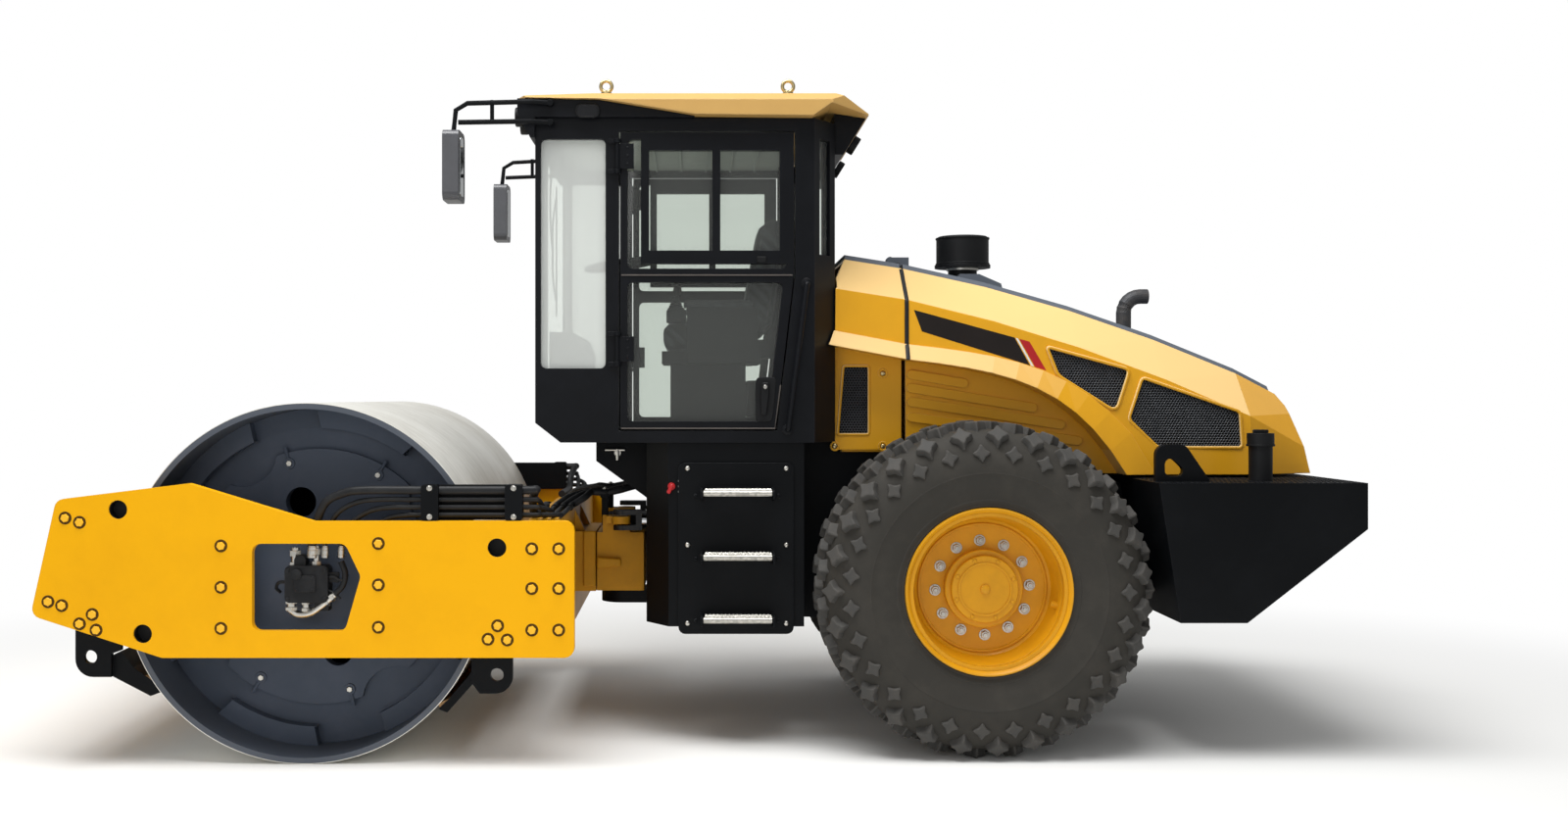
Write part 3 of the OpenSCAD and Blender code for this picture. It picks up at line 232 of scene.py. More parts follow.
# Two-pack enamel sprayed on plate steel: a clear yellow with a faint orange-peel skin.
frame_enamel = finish("frame_yellow_enamel", "#F6B300", "#ECA900", 420, 2.5, 0.05, (0.34, 0.48),
                      "#FFCF40", shine=0.15)
# The beams and the yoke behind the plates have the same paint, darker: partly a film of brown dust, partly
# painted shade for where they sit behind the plates.
joint_dust_and_shade_enamel = finish("joint_ochre_dust_and_painted_shade", "#D0951E", "#B58322", 260, 3.0, 0.1, (0.4, 0.55),
                      "#DFAE48", shine=0.2)
# The hood is moulded in glass fibre and painted a deeper, golden yellow.
# Its upward faces are painted paler, a painted highlight from the light above.
hood_enamel = finish("hood_golden_enamel", "#E2A41E", "#D69A1E", 600, 3.0, 0.05, (0.26, 0.38), "#FFD070", 6,
                     coat=0.1, shine=0.25, painted_highlight_colour="#F0C985")
# Gelcoat on the roof, paled by the sky.
roof_gelcoat = finish("roof_amber_gelcoat", "#C49C5A", "#BC9454", 500, 3.0, 0.04, (0.35, 0.5), "#FFE3B0",
                      8, shine=0.3)
# The rims are pressed steel in the frame's paint, a little duller.
rim_enamel = finish("rim_yellow_enamel", "#DC9C12", "#C88D12", 180, 2.0, 0.04, (0.3, 0.45), "#F5C04A",
                    3, shine=0.3)
# Satin blue-black chassis paint, which shows every bit of road dust.
chassis_enamel = finish("chassis_black_enamel", "#07090C", "#0F1114", 350, 2.0, 0.05, (0.38, 0.55),
                        "#3A3D42", edge_wear_and_highlight_amount=0.6, shine=0.12)
# Powder coat on the cab's tubes: black with a fine leathery skin.
cab_powder = finish("cab_black_powder_coat", "#0B0D11", "#121419", 300, 1.5, 0.06, (0.35, 0.5), "#4A4B4F", 3,
                    edge_wear_and_highlight_amount=0.6, shine=0.15)
# Injection-moulded ABS with a spark-eroded grain.
abs_black = finish("moulded_black_abs", "#0F1012", "#17181A", 120, 1.2, 0.08, (0.45, 0.6), "#3A3B3D",
                   3, shine=0.22)
# The mirror shells are a lighter grey and glossier.
mirror_shell = finish("mirror_grey_abs", "#46474B", "#505156", 120, 1.5, 0.04, (0.25, 0.35), "#6A6B70", 4)
# Grey anti-glare paint on top of the hood.
hood_grey = finish("hood_grey_anti_glare", "#555C66", "#61666D", 300, 4.0, 0.2, (0.6, 0.75), "#7C828A", 3)
console_grey = finish("console_grey_moulding", "#3C3E43", "#46484C", 150, 1.5, 0.1, (0.5, 0.65),
                      "#5A5C60", 6)
# Primer-grey paint inside the drum, dull from dust.
head_paint = finish("drum_head_grey_paint", "#4C5564", "#586070", 260, 3.0, 0.1, (0.45, 0.6), "#6A717C",
                    4, shine=0.22)
# Sand-cast iron, painted black: a coarse skin.
cast_black = finish("cast_iron_black", "#191A1C", "#2A2B2D", 60, 4.0, 0.5, (0.5, 0.7), "#45474A",
                    4, shine=0.22)
# Heat-stained exhaust pipe.
exhaust_paint = finish("heat_stained_steel", "#3B3C3F", "#57504A", 90, 2.0, 0.1, (0.45, 0.65), "#6C6A68",
                       2, metallic=0.3)
print(len([m for m in bpy.data.materials if m.use_nodes]), "finishes so far")

# %% [markdown]
# Bare metal needs its own recipe. Galvanised steel has crystals, which a Voronoi pattern gives, and plated
# bolts and chromed rods have a finer, plainer skin.

# %% Bare metals
def metal(name, colour, second, rough, mark_mm, crystals=False, depth_mm=0.05):
    material, tree, shader, place = blank(name)
    if crystals:
        tone = add(tree, "TexVoronoi", {"Scale": 1000 / mark_mm, "Vector": place["Object"]}).outputs["Color"]
    else:
        tone = noise(tree, place["Object"], 1000 / mark_mm)
    stain = noise(tree, place["Object"], 3.0, 7.0, 0.7)
    marked = ramp(tree, calc(tree, "MULTIPLY", tone, stain), 0.1, 0.45)
    rounded = add(tree, "Bevel", {"Radius": 2 * MM}, samples=4)
    bump = add(tree, "Bump", {"Strength": 0.5, "Distance": depth_mm * MM, "Height": tone, "Normal": rounded})
    feed(shader, {"Base Color": mix(tree, marked, colour, second), "Metallic": 1.0,
                  "Roughness": ramp(tree, tone, 0, 1, *rough), "Normal": bump})
    return material


galvanised = metal("hot_dip_galvanised", "#C9C6BE", "#A8A69F", (0.35, 0.55), 12, crystals=True)
zinc_bolt = metal("zinc_plated_steel", "#D2D0CA", "#B5B2AA", (0.22, 0.38), 6)
yellow_zinc = metal("yellow_passivated_zinc", "#CDBB8C", "#B5A272", (0.25, 0.4), 8)
rod_chrome = metal("hard_chrome_rod", "#D5D7DA", "#C4C7CA", (0.08, 0.14), 5, depth_mm=0.0)

# The chrome of a steering rod stops at its forked eye, which is painted black.
FORK_X = -0.2915
tree = rod_chrome.node_tree
shader = tree.nodes["Principled BSDF"]
place = add(tree, "TexCoord").outputs["Object"]
chromed = calc(tree, "GREATER_THAN", axes(tree, place)["X"], FORK_X)
chrome = shader.inputs["Base Color"].links[0].from_socket
feed(shader, {"Base Color": mix(tree, chromed, "#101215", chrome), "Metallic": chromed,
              "Roughness": ramp(tree, chromed, 0, 1, 0.5, 0.11)})
print("bare metals ready")

# %% [markdown]
# Tyre rubber is matt black, greyed by dust that settles in the hollows. Glass is a thin clear sheet with a
# faint tint, mixed from a see-through, a pale diffuse and a glossy shader, which renders clean and keeps
# the far side visible. Seat cloth shows its weave, so it gets crossed waves at thread size.

# %% Rubber, glass and cloth
tyre_rubber = finish("tyre_rubber", "#363430", "#413E39", 140, 3.0, 0.3, (0.62, 0.8), "#55514C", 6,
                     edge_wear_and_highlight_amount=0.5, shine=0.22)
# Where the tread rolls the rubber is a lighter grey, partly scuffing and partly a painted highlight on the
# lugs.
lug_rubber = finish("tyre_lug_rubber", "#464543", "#524F4B", 90, 3.0, 0.3, (0.6, 0.75), "#5C5852", 7,
                    edge_wear_and_highlight_amount=0.8, shine=0.22)
hose_rubber = finish("hose_rubber", "#1E1F21", "#2C2D2E", 60, 2.0, 0.1, (0.4, 0.55), "#3A3B3C",
                     2, shine=0.22)


def clear_sheet(name, tint, haze, side_film):
    material, tree, shader, place = blank(name)
    tree.nodes.remove(shader)
    ahead = ramp(tree, axes(tree, place["Object"])["X"], -0.38, -0.42)
    sideways = calc(tree, "ABSOLUTE", axes(tree, place["Normal"])["Y"])
    amount = ramp(tree, calc(tree, "MULTIPLY", ahead, sideways), 0, 1, haze, side_film)
    through = add(tree, "BsdfTransparent", {"Color": linear(tint)})
    film = add(tree, "BsdfDiffuse", {"Color": linear("#F4F7F4")})
    shine = add(tree, "BsdfGlossy", {"Roughness": 0.02})
    dim = add(tree, "MixShader", {0: amount, 1: through, 2: film})
    both = add(tree, "MixShader", {0: 0.03, 1: dim, 2: shine})
    feed(tree.nodes["Material Output"], {"Surface": both})
    return material


# The side panes ahead of the doors get more of the pale film on their sideways faces, so they read pale
# against the dark cab.
cab_pane = clear_sheet("pale_film_cab_glass", "#F5F7F5", 0.035, 0.37)
# The door glass gets no more than a faint, even film over its tint.
door_pane = clear_sheet("tinted_door_glass", "#F0F3F0", 0.03, 0.03)

THREAD_MM = 5.0  # true thread is finer; drawn this coarse so that it shows
seat_cloth, tree, shader, place = blank("woven_seat_cloth")
threads = {"Scale": 1000 / THREAD_MM / 20, "Vector": place["Object"]}
warp, weft = [add(tree, "TexWave", threads, bands_direction=way).outputs["Fac"] for way in ("Y", "DIAGONAL")]
weave = calc(tree, "MULTIPLY", warp, weft)
bump = add(tree, "Bump", {"Strength": 0.5, "Distance": 0.4 * MM, "Height": weave})
feed(shader, {"Base Color": mix(tree, weave, "#26272B", "#45474C"), "Roughness": 0.85, "Sheen Weight": 0.25,
              "Normal": bump})

lamp_lens = finish("lamp_lens_polycarbonate", "#D9DAD6", "#C8CAC6", 30, 6.0, 0.6, (0.08, 0.16), "#F0F0EE",
                   2, coat=0.6)
print("rubber, glass and cloth ready")

# %% [markdown]
# The drum is bare only where it rolls. Its ends and its inside are painted, so this finish mixes the turned
# steel with the grey paint by the distance from the drum's axis, and the line between them is as sharp as
# the real edge.

# %% Drum finish
DRUM_AXIS = (-1.688, 0.0, 0.7615)
DRUM_R = 0.7615
BARE_R = DRUM_R - 0.003
drum_skin, tree, shader, place = blank("drum_steel_and_paint")
spot = place["Object"]
flat = vector(tree, "MULTIPLY", vector(tree, "SUBTRACT", spot, DRUM_AXIS), (1.0, 0.0, 1.0))
rolls = calc(tree, "GREATER_THAN", vector(tree, "LENGTH", flat), BARE_R)
# Scratches run round the barrel, so the noise is fine across it (Y) and drawn out in X and Z.
scratch = noise(tree, vector(tree, "MULTIPLY", spot, (1.0, 9.0, 1.0)), 6.0, 8.0, 0.7)
stain = noise(tree, spot, 2.2, 6.0, 0.6)
dull = ramp(tree, calc(tree, "ADD", scratch, stain), 0.8, 1.35)
steel = mix(tree, dull, "#F4F3EC", "#CAC7BD")
paint = mix(tree, stain, "#3C424D", "#555C67")
bump = add(tree, "Bump", {"Strength": 0.4, "Distance": 0.05 * MM, "Height": scratch})
feed(shader, {"Base Color": mix(tree, rolls, paint, steel), "Metallic": calc(tree, "MULTIPLY", rolls, 0.45),
              "Roughness": ramp(tree, stain, 0, 1, 0.34, 0.52), "Normal": bump})
print("drum finish ready, paint inside", BARE_R, "m")

# %% [markdown]
# Each solid of the frame now gets its finish. The list is by finish, so a repaint is one line.

# %% Finishes on the solids
DRESS = {
    frame_enamel: "side_plates front_beam",
    joint_dust_and_shade_enamel: "rear_beam yoke",
    hood_enamel: "cowl_shell hood_shell hood_panels",
    roof_gelcoat: "cab_roof",
    rim_enamel: "rim_left rim_right",
    chassis_enamel: "rear_chassis side_tanks step_panels tail_ballast scrapers hose_clamps mirror_arms "
                    "barrel_left barrel_right rear_axle",
    cab_powder: "cab_floor cab_front cab_sides cab_rear door_left door_right roof_pods",
    mirror_shell: "mirror_heads",
    abs_black: "tank_filler pre_cleaner cowl_grilles hood_grilles seat_base steering_column",
    hood_grey: "hood_top cowl_top",
    console_grey: "console",
    seat_cloth: "seat_cushions",
    cab_pane: "cab_glass",
    door_pane: "door_glass_left door_glass_right",
    lamp_lens: "lamps",
    yellow_zinc: "roof_eyes",
    galvanised: "step_treads",
    rod_chrome: "rod_left rod_right",
    drum_skin: "drum_shell",
    head_paint: "drum_heads drum_carriers",
    cast_black: "drum_motors engine_block",
    exhaust_paint: "exhaust",
    tyre_rubber: "tyre_left tyre_right",
    hose_rubber: "drum_hoses",
}
for material, names in DRESS.items():
    for name in names.split():
        NODES[name].data.materials.clear()
        NODES[name].data.materials.append(material)
bare = sorted(set(NODES) - set(" ".join(DRESS.values()).split()))
print("solids with no finish:", bare)

# %% [markdown]
# Small pieces are drawn in millimetres, as a list of corners and a list of faces. A section swept along a
# path makes hoses, seals and tubes, a section turned about an axis makes whatever comes off a lathe, and a
# slab is a plate cut to an outline with a chamfered edge. `put` turns such a drawing into a mesh on the
# body that carries it.

# %% Drawing tools
def merge(*shapes):
    corners, faces = [], []
    for points, rings in shapes:
        start = len(corners)
        corners += points
        faces += [[i + start for i in ring] for ring in rings]
    return corners, faces


def moved(shape, matrix):
    return [matrix @ p for p in shape[0]], shape[1]


def mirrored(shape):
    return [Vector((p.x, -p.y, p.z)) for p in shape[0]], [ring[::-1] for ring in shape[1]]


def shifted(shape, place):
    return moved(shape, Matrix.Translation(place))


def paired(shape):
    return merge(shape, mirrored(shape))


def on_left(x, y, z):
    """A frame on the left flank: u runs to the rear, v up and w out of the flank."""
    return Matrix(((1, 0, 0, x), (0, 0, -1, y), (0, 1, 0, z), (0, 0, 0, 1)))


def flank(shape, x, y, z):
    return moved(shape, on_left(x, y, z))


def crosswise(shape, x):
    """Lays a drawing in Y and Z, at one X."""
    return moved(shape, Matrix(((0, 0, 1, x), (1, 0, 0, 0), (0, 1, 0, 0), (0, 0, 0, 1))))


def polar(radius, angle):
    return radius * math.cos(angle), radius * math.sin(angle)


def disc(radius, steps=12, start=0.0):
    turns = [2 * math.pi * (i + start) / steps for i in range(steps)]
    return [polar(radius, a) for a in turns]


def skin(rings, closed=False):
    """Faces between rings of equal length, with lids on the ends unless the rings close up."""
    n, count = len(rings[0]), len(rings)
    faces = []
    for i in range(count if closed else count - 1):
        a, b = i * n, (i + 1) % count * n
        faces += [[a + j, a + (j + 1) % n, b + (j + 1) % n, b + j] for j in range(n)]
    if not closed:
        faces += [list(range(n))[::-1], list(range((count - 1) * n, count * n))]
    return [p for ring in rings for p in ring], faces


def lathe(section, steps=48):
    rings = [[Vector((r * math.cos(a), r * math.sin(a), h)) for r, h in section]
             for a in [2 * math.pi * i / steps for i in range(steps)]]
    return skin(rings, closed=True)


def sweep(path, section, closed=False, up=(0, 0, 1)):
    path = [Vector(p) for p in path]
    count = len(path)
    rings, side = [], Vector(up)
    for i, point in enumerate(path):
        before = path[i - 1] if i or closed else point
        after = path[(i + 1) % count] if i < count - 1 or closed else point
        along = (after - before).normalized()
        side = side - along * side.dot(along)
        side = (side if side.length > 1e-6 else along.orthogonal()).normalized()
        across = along.cross(side)
        rings.append([point + side * a + across * b for a, b in section])
    return skin(rings, closed)


def smooth_path(points, steps=6):
    points = [Vector(p) for p in points]
    full = [2 * points[0] - points[1]] + points + [2 * points[-1] - points[-2]]
    path = []
    for a, b, c, d in zip(full, full[1:], full[2:], full[3:]):
        for i in range(steps):
            t = i / steps
            path.append(0.5 * (2 * b + (c - a) * t + (2 * a - 5 * b + 4 * c - d) * t ** 2
                               + (3 * b - a - 3 * c + d) * t ** 3))
    return path + [points[-1]]


def tube(points, radius, steps=6, sides=12):
    return sweep(smooth_path(points, steps), disc(radius, sides))


def rounded(outline, radius, steps=4):
    out = []
    corners = [Vector(p) for p in outline]
    for i, p in enumerate(corners):
        a, b = corners[i - 1] - p, corners[(i + 1) % len(corners)] - p
        a, b = [p + way.normalized() * min(radius, way.length / 2.1) for way in (a, b)]
        out += [a.lerp(p, t).lerp(p.lerp(b, t), t) for t in [k / steps for k in range(steps + 1)]]
    return out


def inset(outline, depth):
    corners = [Vector(p) for p in outline]
    area = sum(a.x * b.y - b.x * a.y for a, b in zip(corners, corners[1:] + corners[:1]))
    out = []
    for i, p in enumerate(corners):
        a, b = (p - corners[i - 1]).normalized(), (corners[(i + 1) % len(corners)] - p).normalized()
        a, b = Vector((-a.y, a.x)), Vector((-b.y, b.x))
        out.append(p + (a + b) / max(1 + a.dot(b), 0.3) * depth * (1 if area > 0 else -1))
    return out


def stack(outline, levels):
    """An outline scaled at each height, with a skin over all."""
    return skin([[Vector((x * s, y * s, h)) for x, y in outline] for s, h in levels])


def box(x0, y0, x1, y1):
    return [(x0, y0), (x1, y0), (x1, y1), (x0, y1)]


def slab(outline, thick, edge=1.5):
    levels = [(outline, 0.0), (outline, thick - edge), (inset(outline, edge), thick)]
    return skin([[Vector((p[0], p[1], h)) for p in ring] for ring, h in levels])


def pad(outline, radius, thick, edge=1.5):
    """A slab with round corners."""
    return slab(rounded(outline, radius), thick, edge)


def block(low, high, edge=2.0):
    (x0, y0, z0), (x1, y1, z1) = low, high
    shape = slab(rounded(box(x0, y0, x1, y1), edge, 2), z1 - z0, edge)
    return shifted(shape, (0, 0, z0))


def put(name, shape, material, body, stands_for=(), angle=38):
    mesh = bpy.data.meshes.new(name)
    mesh.from_pydata([p * MM for p in shape[0]], [], shape[1])
    work = bmesh.new()
    work.from_mesh(mesh)
    bmesh.ops.recalc_face_normals(work, faces=work.faces)
    work.to_mesh(mesh)
    work.free()
    mesh.materials.append(material)
    mesh.shade_smooth()
    mesh.set_sharp_from_angle(angle=math.radians(angle))
    piece = bpy.data.objects.new(name, mesh)
    bpy.context.scene.collection.objects.link(piece)
    if body:
        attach(piece, body)
    if stands_for:
        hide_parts(*stands_for)
    return piece


def touch(node, start, way):
    """Where a straight line first meets a solid, in mm."""
    hit, place, _, _ = NODES[node].ray_cast(Vector(start) * MM, Vector(way))
    return place / MM if hit else None


def from_left(node, x, z):
    """Where a look from well out on the left meets a solid."""
    return touch(node, (x, -3000, z), (0, 1, 0))


print("left tank face at", from_left("step_panels", 40, 1000))

# %% [markdown]
# Bolts, nuts and tyre lugs repeat, so one Geometry Nodes tree sets them all out. Its input is a cloud of
# points, each with an axis that the piece stands along, a second direction that it is turned to, and a
# size. The tree places a copy of the piece at every point, turns it a little at random where asked, makes
# the copies real and gives them a finish.

# %% Setting-out tree
def new_tree(name, inputs, output):
    """A Geometry Nodes tree, a modifier's keys for its inputs, and the sockets of those inputs."""
    tree = bpy.data.node_groups.new(name, "GeometryNodeTree")
    keys = {}
    for label, kind in inputs.items():
        socket = tree.interface.new_socket(label, in_out="INPUT", socket_type="NodeSocket" + kind)
        keys[label] = socket.identifier
    tree.interface.new_socket(output, in_out="OUTPUT", socket_type="NodeSocketGeometry")
    return tree, keys, add(tree, "NodeGroupInput").outputs


def evaluated(piece):
    bpy.context.view_layer.update()
    return bpy.data.meshes.new_from_object(piece.evaluated_get(bpy.context.evaluated_depsgraph_get()))


def grown(piece, tree, keys, values):
    """The mesh that a tree makes of a piece."""
    modifier = piece.modifiers.new(tree.name, "NODES")
    modifier.node_group = tree
    for label, value in values.items():
        modifier[keys[label]] = value
    return evaluated(piece)


SPOT_INPUTS = {"Spots": "Geometry", "Piece": "Object", "Turn": "Float", "Seed": "Int", "Finish": "Material"}
set_out, SET_OUT, given = new_tree("set_out", SPOT_INPUTS, "Pieces")
named = [add(set_out, "GeometryNodeInputNamedAttribute", {"Name": label}, data_type="FLOAT_VECTOR")
         for label in ("axis", "up", "size")]
axis, up, size = [node.outputs["Attribute"] for node in named]
stand = add(set_out, "FunctionNodeAxesToRotation", {"Primary Axis": axis, "Secondary Axis": up},
            primary_axis="Z", secondary_axis="X")
least = calc(set_out, "MULTIPLY", given["Turn"], -1.0)
chance = add(set_out, "FunctionNodeRandomValue", {2: least, 3: given["Turn"], "Seed": given["Seed"]},
             data_type="FLOAT")
spin = add(set_out, "FunctionNodeAxisAngleToRotation", {"Axis": (0, 0, 1), "Angle": chance.outputs[1]})
turned = add(set_out, "FunctionNodeRotateRotation", {"Rotation": stand, "Rotate By": spin},
             rotation_space="LOCAL")
shape = add(set_out, "GeometryNodeObjectInfo", {"Object": given["Piece"]})
copies = add(set_out, "GeometryNodeInstanceOnPoints", {
    "Points": given["Spots"], "Instance": shape.outputs["Geometry"], "Rotation": turned, "Scale": size})
real = add(set_out, "GeometryNodeRealizeInstances", {"Geometry": copies})
painted = add(set_out, "GeometryNodeSetMaterial", {"Geometry": real, "Material": given["Finish"]})
add(set_out, "NodeGroupOutput", {"Pieces": painted})


def scatter(name, pattern, spots, material, body, turn=0.0):
    """Spots are (place, axis, up, size), in mm."""
    mesh = bpy.data.meshes.new(name)
    mesh.from_pydata([Vector(s[0]) * MM for s in spots], [], [])
    for label, column, unit in (("axis", 1, 1), ("up", 2, 1), ("size", 3, MM)):
        values = mesh.attributes.new(label, "FLOAT_VECTOR", "POINT").data
        for value, spot in zip(values, spots):
            value.vector = Vector(spot[column]) * unit
    piece = bpy.data.objects.new(name, mesh)
    bpy.context.scene.collection.objects.link(piece)
    mesh = grown(piece, set_out, SET_OUT, {"Piece": pattern, "Turn": turn, "Seed": 7, "Finish": material})
    piece.modifiers.clear()
    piece.data = mesh
    mesh.name = name
    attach(piece, body)
    print(name, len(mesh.polygons), "faces")


def pattern(name, shape, angle=38):
    """A unit piece for the tree: it stands on z = 0 and is left out of the picture."""
    piece = put(name, ([p / MM for p in shape[0]], shape[1]), frame_enamel, None, angle=angle)
    bpy.context.scene.collection.objects.unlink(piece)
    return piece


hexagon = stack(disc(1, 6), ((1, 0), (1, 0.82), (0.86, 1.0)))
washer = lathe([(0.2, 0), (1.32, 0), (1.32, 0.16), (1.26, 0.22), (0.2, 0.22)], 24)
hex_screw = pattern("hex_screw", hexagon)
hex_head = pattern("hex_head", merge(hexagon, washer))
stud = lathe([(0.05, 0.5), (0.5, 0.5), (0.5, 1.3), (0.42, 1.4), (0.05, 1.4)], 16)
stud_nut = pattern("stud_nut", merge(hexagon, washer, stud))
dome = lathe([(0.02, 0), (1, 0), (0.96, 0.35), (0.78, 0.72), (0.45, 0.94), (0.02, 1)], 20)
dome_head = pattern("dome_head", dome)
well_ring = pattern("well_ring", lathe([(0.6, 0), (1, 0), (0.97, 1), (0.6, 1)], 28))


def bolts(name, spots, material, body, head=hex_head):
    """Hexagon heads, each turned at random, as a spanner leaves them."""
    scatter(name, head, spots, material, body, turn=0.5)


def on_flanks(points, y, radius, height, sides=(-1, 1)):
    return [((x, side * y, z), (0, side, 0), (1, 0, 0), (radius, radius, height))
            for side in sides for x, z in points]


def on_ring(centre, y, ring_r, count, start, radius, height, sides=(-1, 1)):
    turns = [math.radians(start + 360 * i / count) for i in range(count)]
    points = [(centre[0] + ring_r * math.cos(a), centre[1] + ring_r * math.sin(a)) for a in turns]
    return on_flanks(points, y, radius, height, sides)


print("setting-out tree with", len(set_out.nodes), "nodes")

# %% [markdown]
# The side plates are bolted to the beams with big hexagon screws, painted with the frame. Each sits in a
# dark ring, painted shadow for the rim of its seat. The wheel nuts are left bare, and so are the screws in
# the hose clamps.

# %% Bolts of the front frame and the wheels
SIDES = ((-1, "left"), (1, "right"))
PLATE_Y = 1150
DRUM_X, DRUM_Z = -1688, 761.5
AXLE_X, WHEEL_Z = 1202, 722
plate_bolts = [(-2663, 1044), (-2603, 1026), (-2734, 696), (-2677, 680), (-2550, 643),
               (-2603, 604), (-2534, 578)]
plate_bolts += [(x, z) for x, zs in ((-2015, (928, 756, 585)), (-1360, (938, 766, 590))) for z in zs]
plate_bolts += [(x, z) for x in (-722, -610) for z in (916, 751, 578)]
plate_bolts += [(-864, 596), (-904, 540), (-824, 537)]
# The dark ring round each plate screw is painted shadow.
seat_shadow = finish("bolt_seat_painted_shadow", "#4A3206", "#5B4010", 20, 2.0, 0.2, (0.6, 0.8), "#5B4010",
                     1, shine=0.2)
screw_enamel = finish("screw_yellow_enamel", "#FDC02A", "#F2B21C", 60, 2.0, 0.03, (0.3, 0.4), "#FFDE7A",
                      1, shine=0.3)
scatter("plate_bolt_seats", well_ring, on_flanks(plate_bolts, PLATE_Y, 27, 1.2), seat_shadow, "front_frame")
bolts("plate_bolts", on_flanks(plate_bolts, PLATE_Y, 18, 8), screw_enamel, "front_frame", hex_screw)
clamp_bolts = [(DRUM_X + x, z) for x in (539, 889) for z in (1048, 1168)]
bolts("clamp_bolts", on_flanks(clamp_bolts, 1144, 9, 5), zinc_bolt, "front_frame")
for side, label in SIDES:
    hub = (AXLE_X, WHEEL_Z)
    body = "wheel_" + label
    bolts("wheel_nuts_" + label, on_ring(hub, 875, 205, 12, 3, 19, 18, [side]), zinc_bolt, body, stud_nut)
    bolts("hub_bolts_" + label, on_ring(hub, 945, 130, 8, 20, 8, 5, [side]), rim_enamel, body)
bolts("carrier_bolts", on_ring((DRUM_X, DRUM_Z), 804, 240, 12, 15, 11, 8), head_paint, "drum")

# %% [markdown]
# The tyre is a smooth carcass with rubber lugs. In the solid the carcass has a few flats and the lugs are
# plain blocks; here the carcass is turned from a curved section, with the fine rings that the mould leaves
# on the side wall. The lugs are four-pointed stars with hollow sides, one point to the rim and one along
# the turn, in seven rows.

# %% Tyres
HALF = [(0, 688), (100, 688), (156, 685), (186, 674), (210, 652), (233, 618), (248, 578), (257, 545),
        (259.4, 520), (259.2, 506), (260.6, 503), (259, 500), (256, 470), (248, 430), (240, 398),
        (238.5, 392), (240, 388), (236, 374), (234, 368), (235.5, 364), (233, 358), (231, 345), (226, 322)]
TYRE_Y = 805
section = [(r, y) for y, r in HALF] + [(r, -y) for y, r in HALF[:0:-1]]
carcass = lathe(section, 120)


def on_axle(shape, y):
    """Turns a lathe shape to the axle's direction and puts it on the axle."""
    return moved(shape, Matrix.Translation((AXLE_X, y, WHEEL_Z)) @ Matrix.Rotation(math.radians(90), 4, "X"))


ROWS = [(0, 684, 0, 56, 48, 38, 0.5), (119.6, 684, 0, 54, 48, 38, 0), (202.8, 651, 48, 52, 51, 36, 0.5),
        (241, 587, 80, 39, 39, 18, 0)]
STAR = [(1.0, 4), (0.82, 16), (0.68, 30), (0.62, 45), (0.68, 60), (0.82, 74), (1.0, 86)]
turns = [(r, math.radians(a + q)) for q in (0, 90, 180, 270) for r, a in STAR]
star = [polar(r, a) for r, a in turns]
levels = ((1.06, -0.35), (1.0, 0.0), (0.9, 0.72), (0.84, 0.93), (0.72, 1.0))
star_lug = pattern("star_lug", stack(star, levels), 30)
LUGS = 27
for side, label in SIDES:
    spots = []
    for y, foot, lean, length, width, height, stagger in ROWS:
        rise, tip = polar(1, math.radians(lean))
        for hand in ((1,) if y == 0 else (-1, 1)):
            for i in range(LUGS):
                a = 2 * math.pi * (i + stagger) / LUGS
                radial = Vector((math.cos(a), 0, -math.sin(a)))
                out = radial * rise + Vector((0, hand * tip, 0))
                round_way = Vector((-math.sin(a), 0, -math.cos(a)))
                place = Vector((AXLE_X, side * TYRE_Y + hand * y, WHEEL_Z)) + radial * foot
                spots.append((place, out, round_way, (width, length, height)))
    body = "wheel_" + label
    put("tyre_carcass_" + label, on_axle(carcass, side * TYRE_Y), tyre_rubber, body, ["tyre_" + label], 24)
    scatter("tyre_lugs_" + label, star_lug, spots, lug_rubber, body)

# %% [markdown]
# A wheel rim is rolled and pressed from thick sheet, so its mouth runs in one smooth curve from the lip to
# the disc. The solid has a plain step there. This rim is turned from a section with that curve, on the same
# lip, disc and hub.

# %% Rims
RIM = [(356, 1050), (354, 1055), (349, 1055), (341, 1047), (328, 1022), (316, 984), (308, 944), (302, 908),
       (295, 886), (282, 876), (168, 875), (168, 918), (164, 921), (146, 921), (144, 942), (141, 945),
       (0.1, 945), (0.1, 840), (290, 840), (300, 830), (302, 562), (345, 556), (357, 558), (357, 571),
       (320, 574), (320, 1036), (357, 1038)]
rim_shape = on_axle(lathe(RIM, 120), 0)
put("rim_turned_left", rim_shape, rim_enamel, "wheel_left", ["rim_left"], 28)
put("rim_turned_right", mirrored(rim_shape), rim_enamel, "wheel_right", ["rim_right"], 28)

# %% [markdown]
# Four hydraulic hoses run along each side plate from the drum motor to the rear beam. Each is one smooth
# tube along the same bends as in the solid, with a pressed steel collar where it meets its fitting.

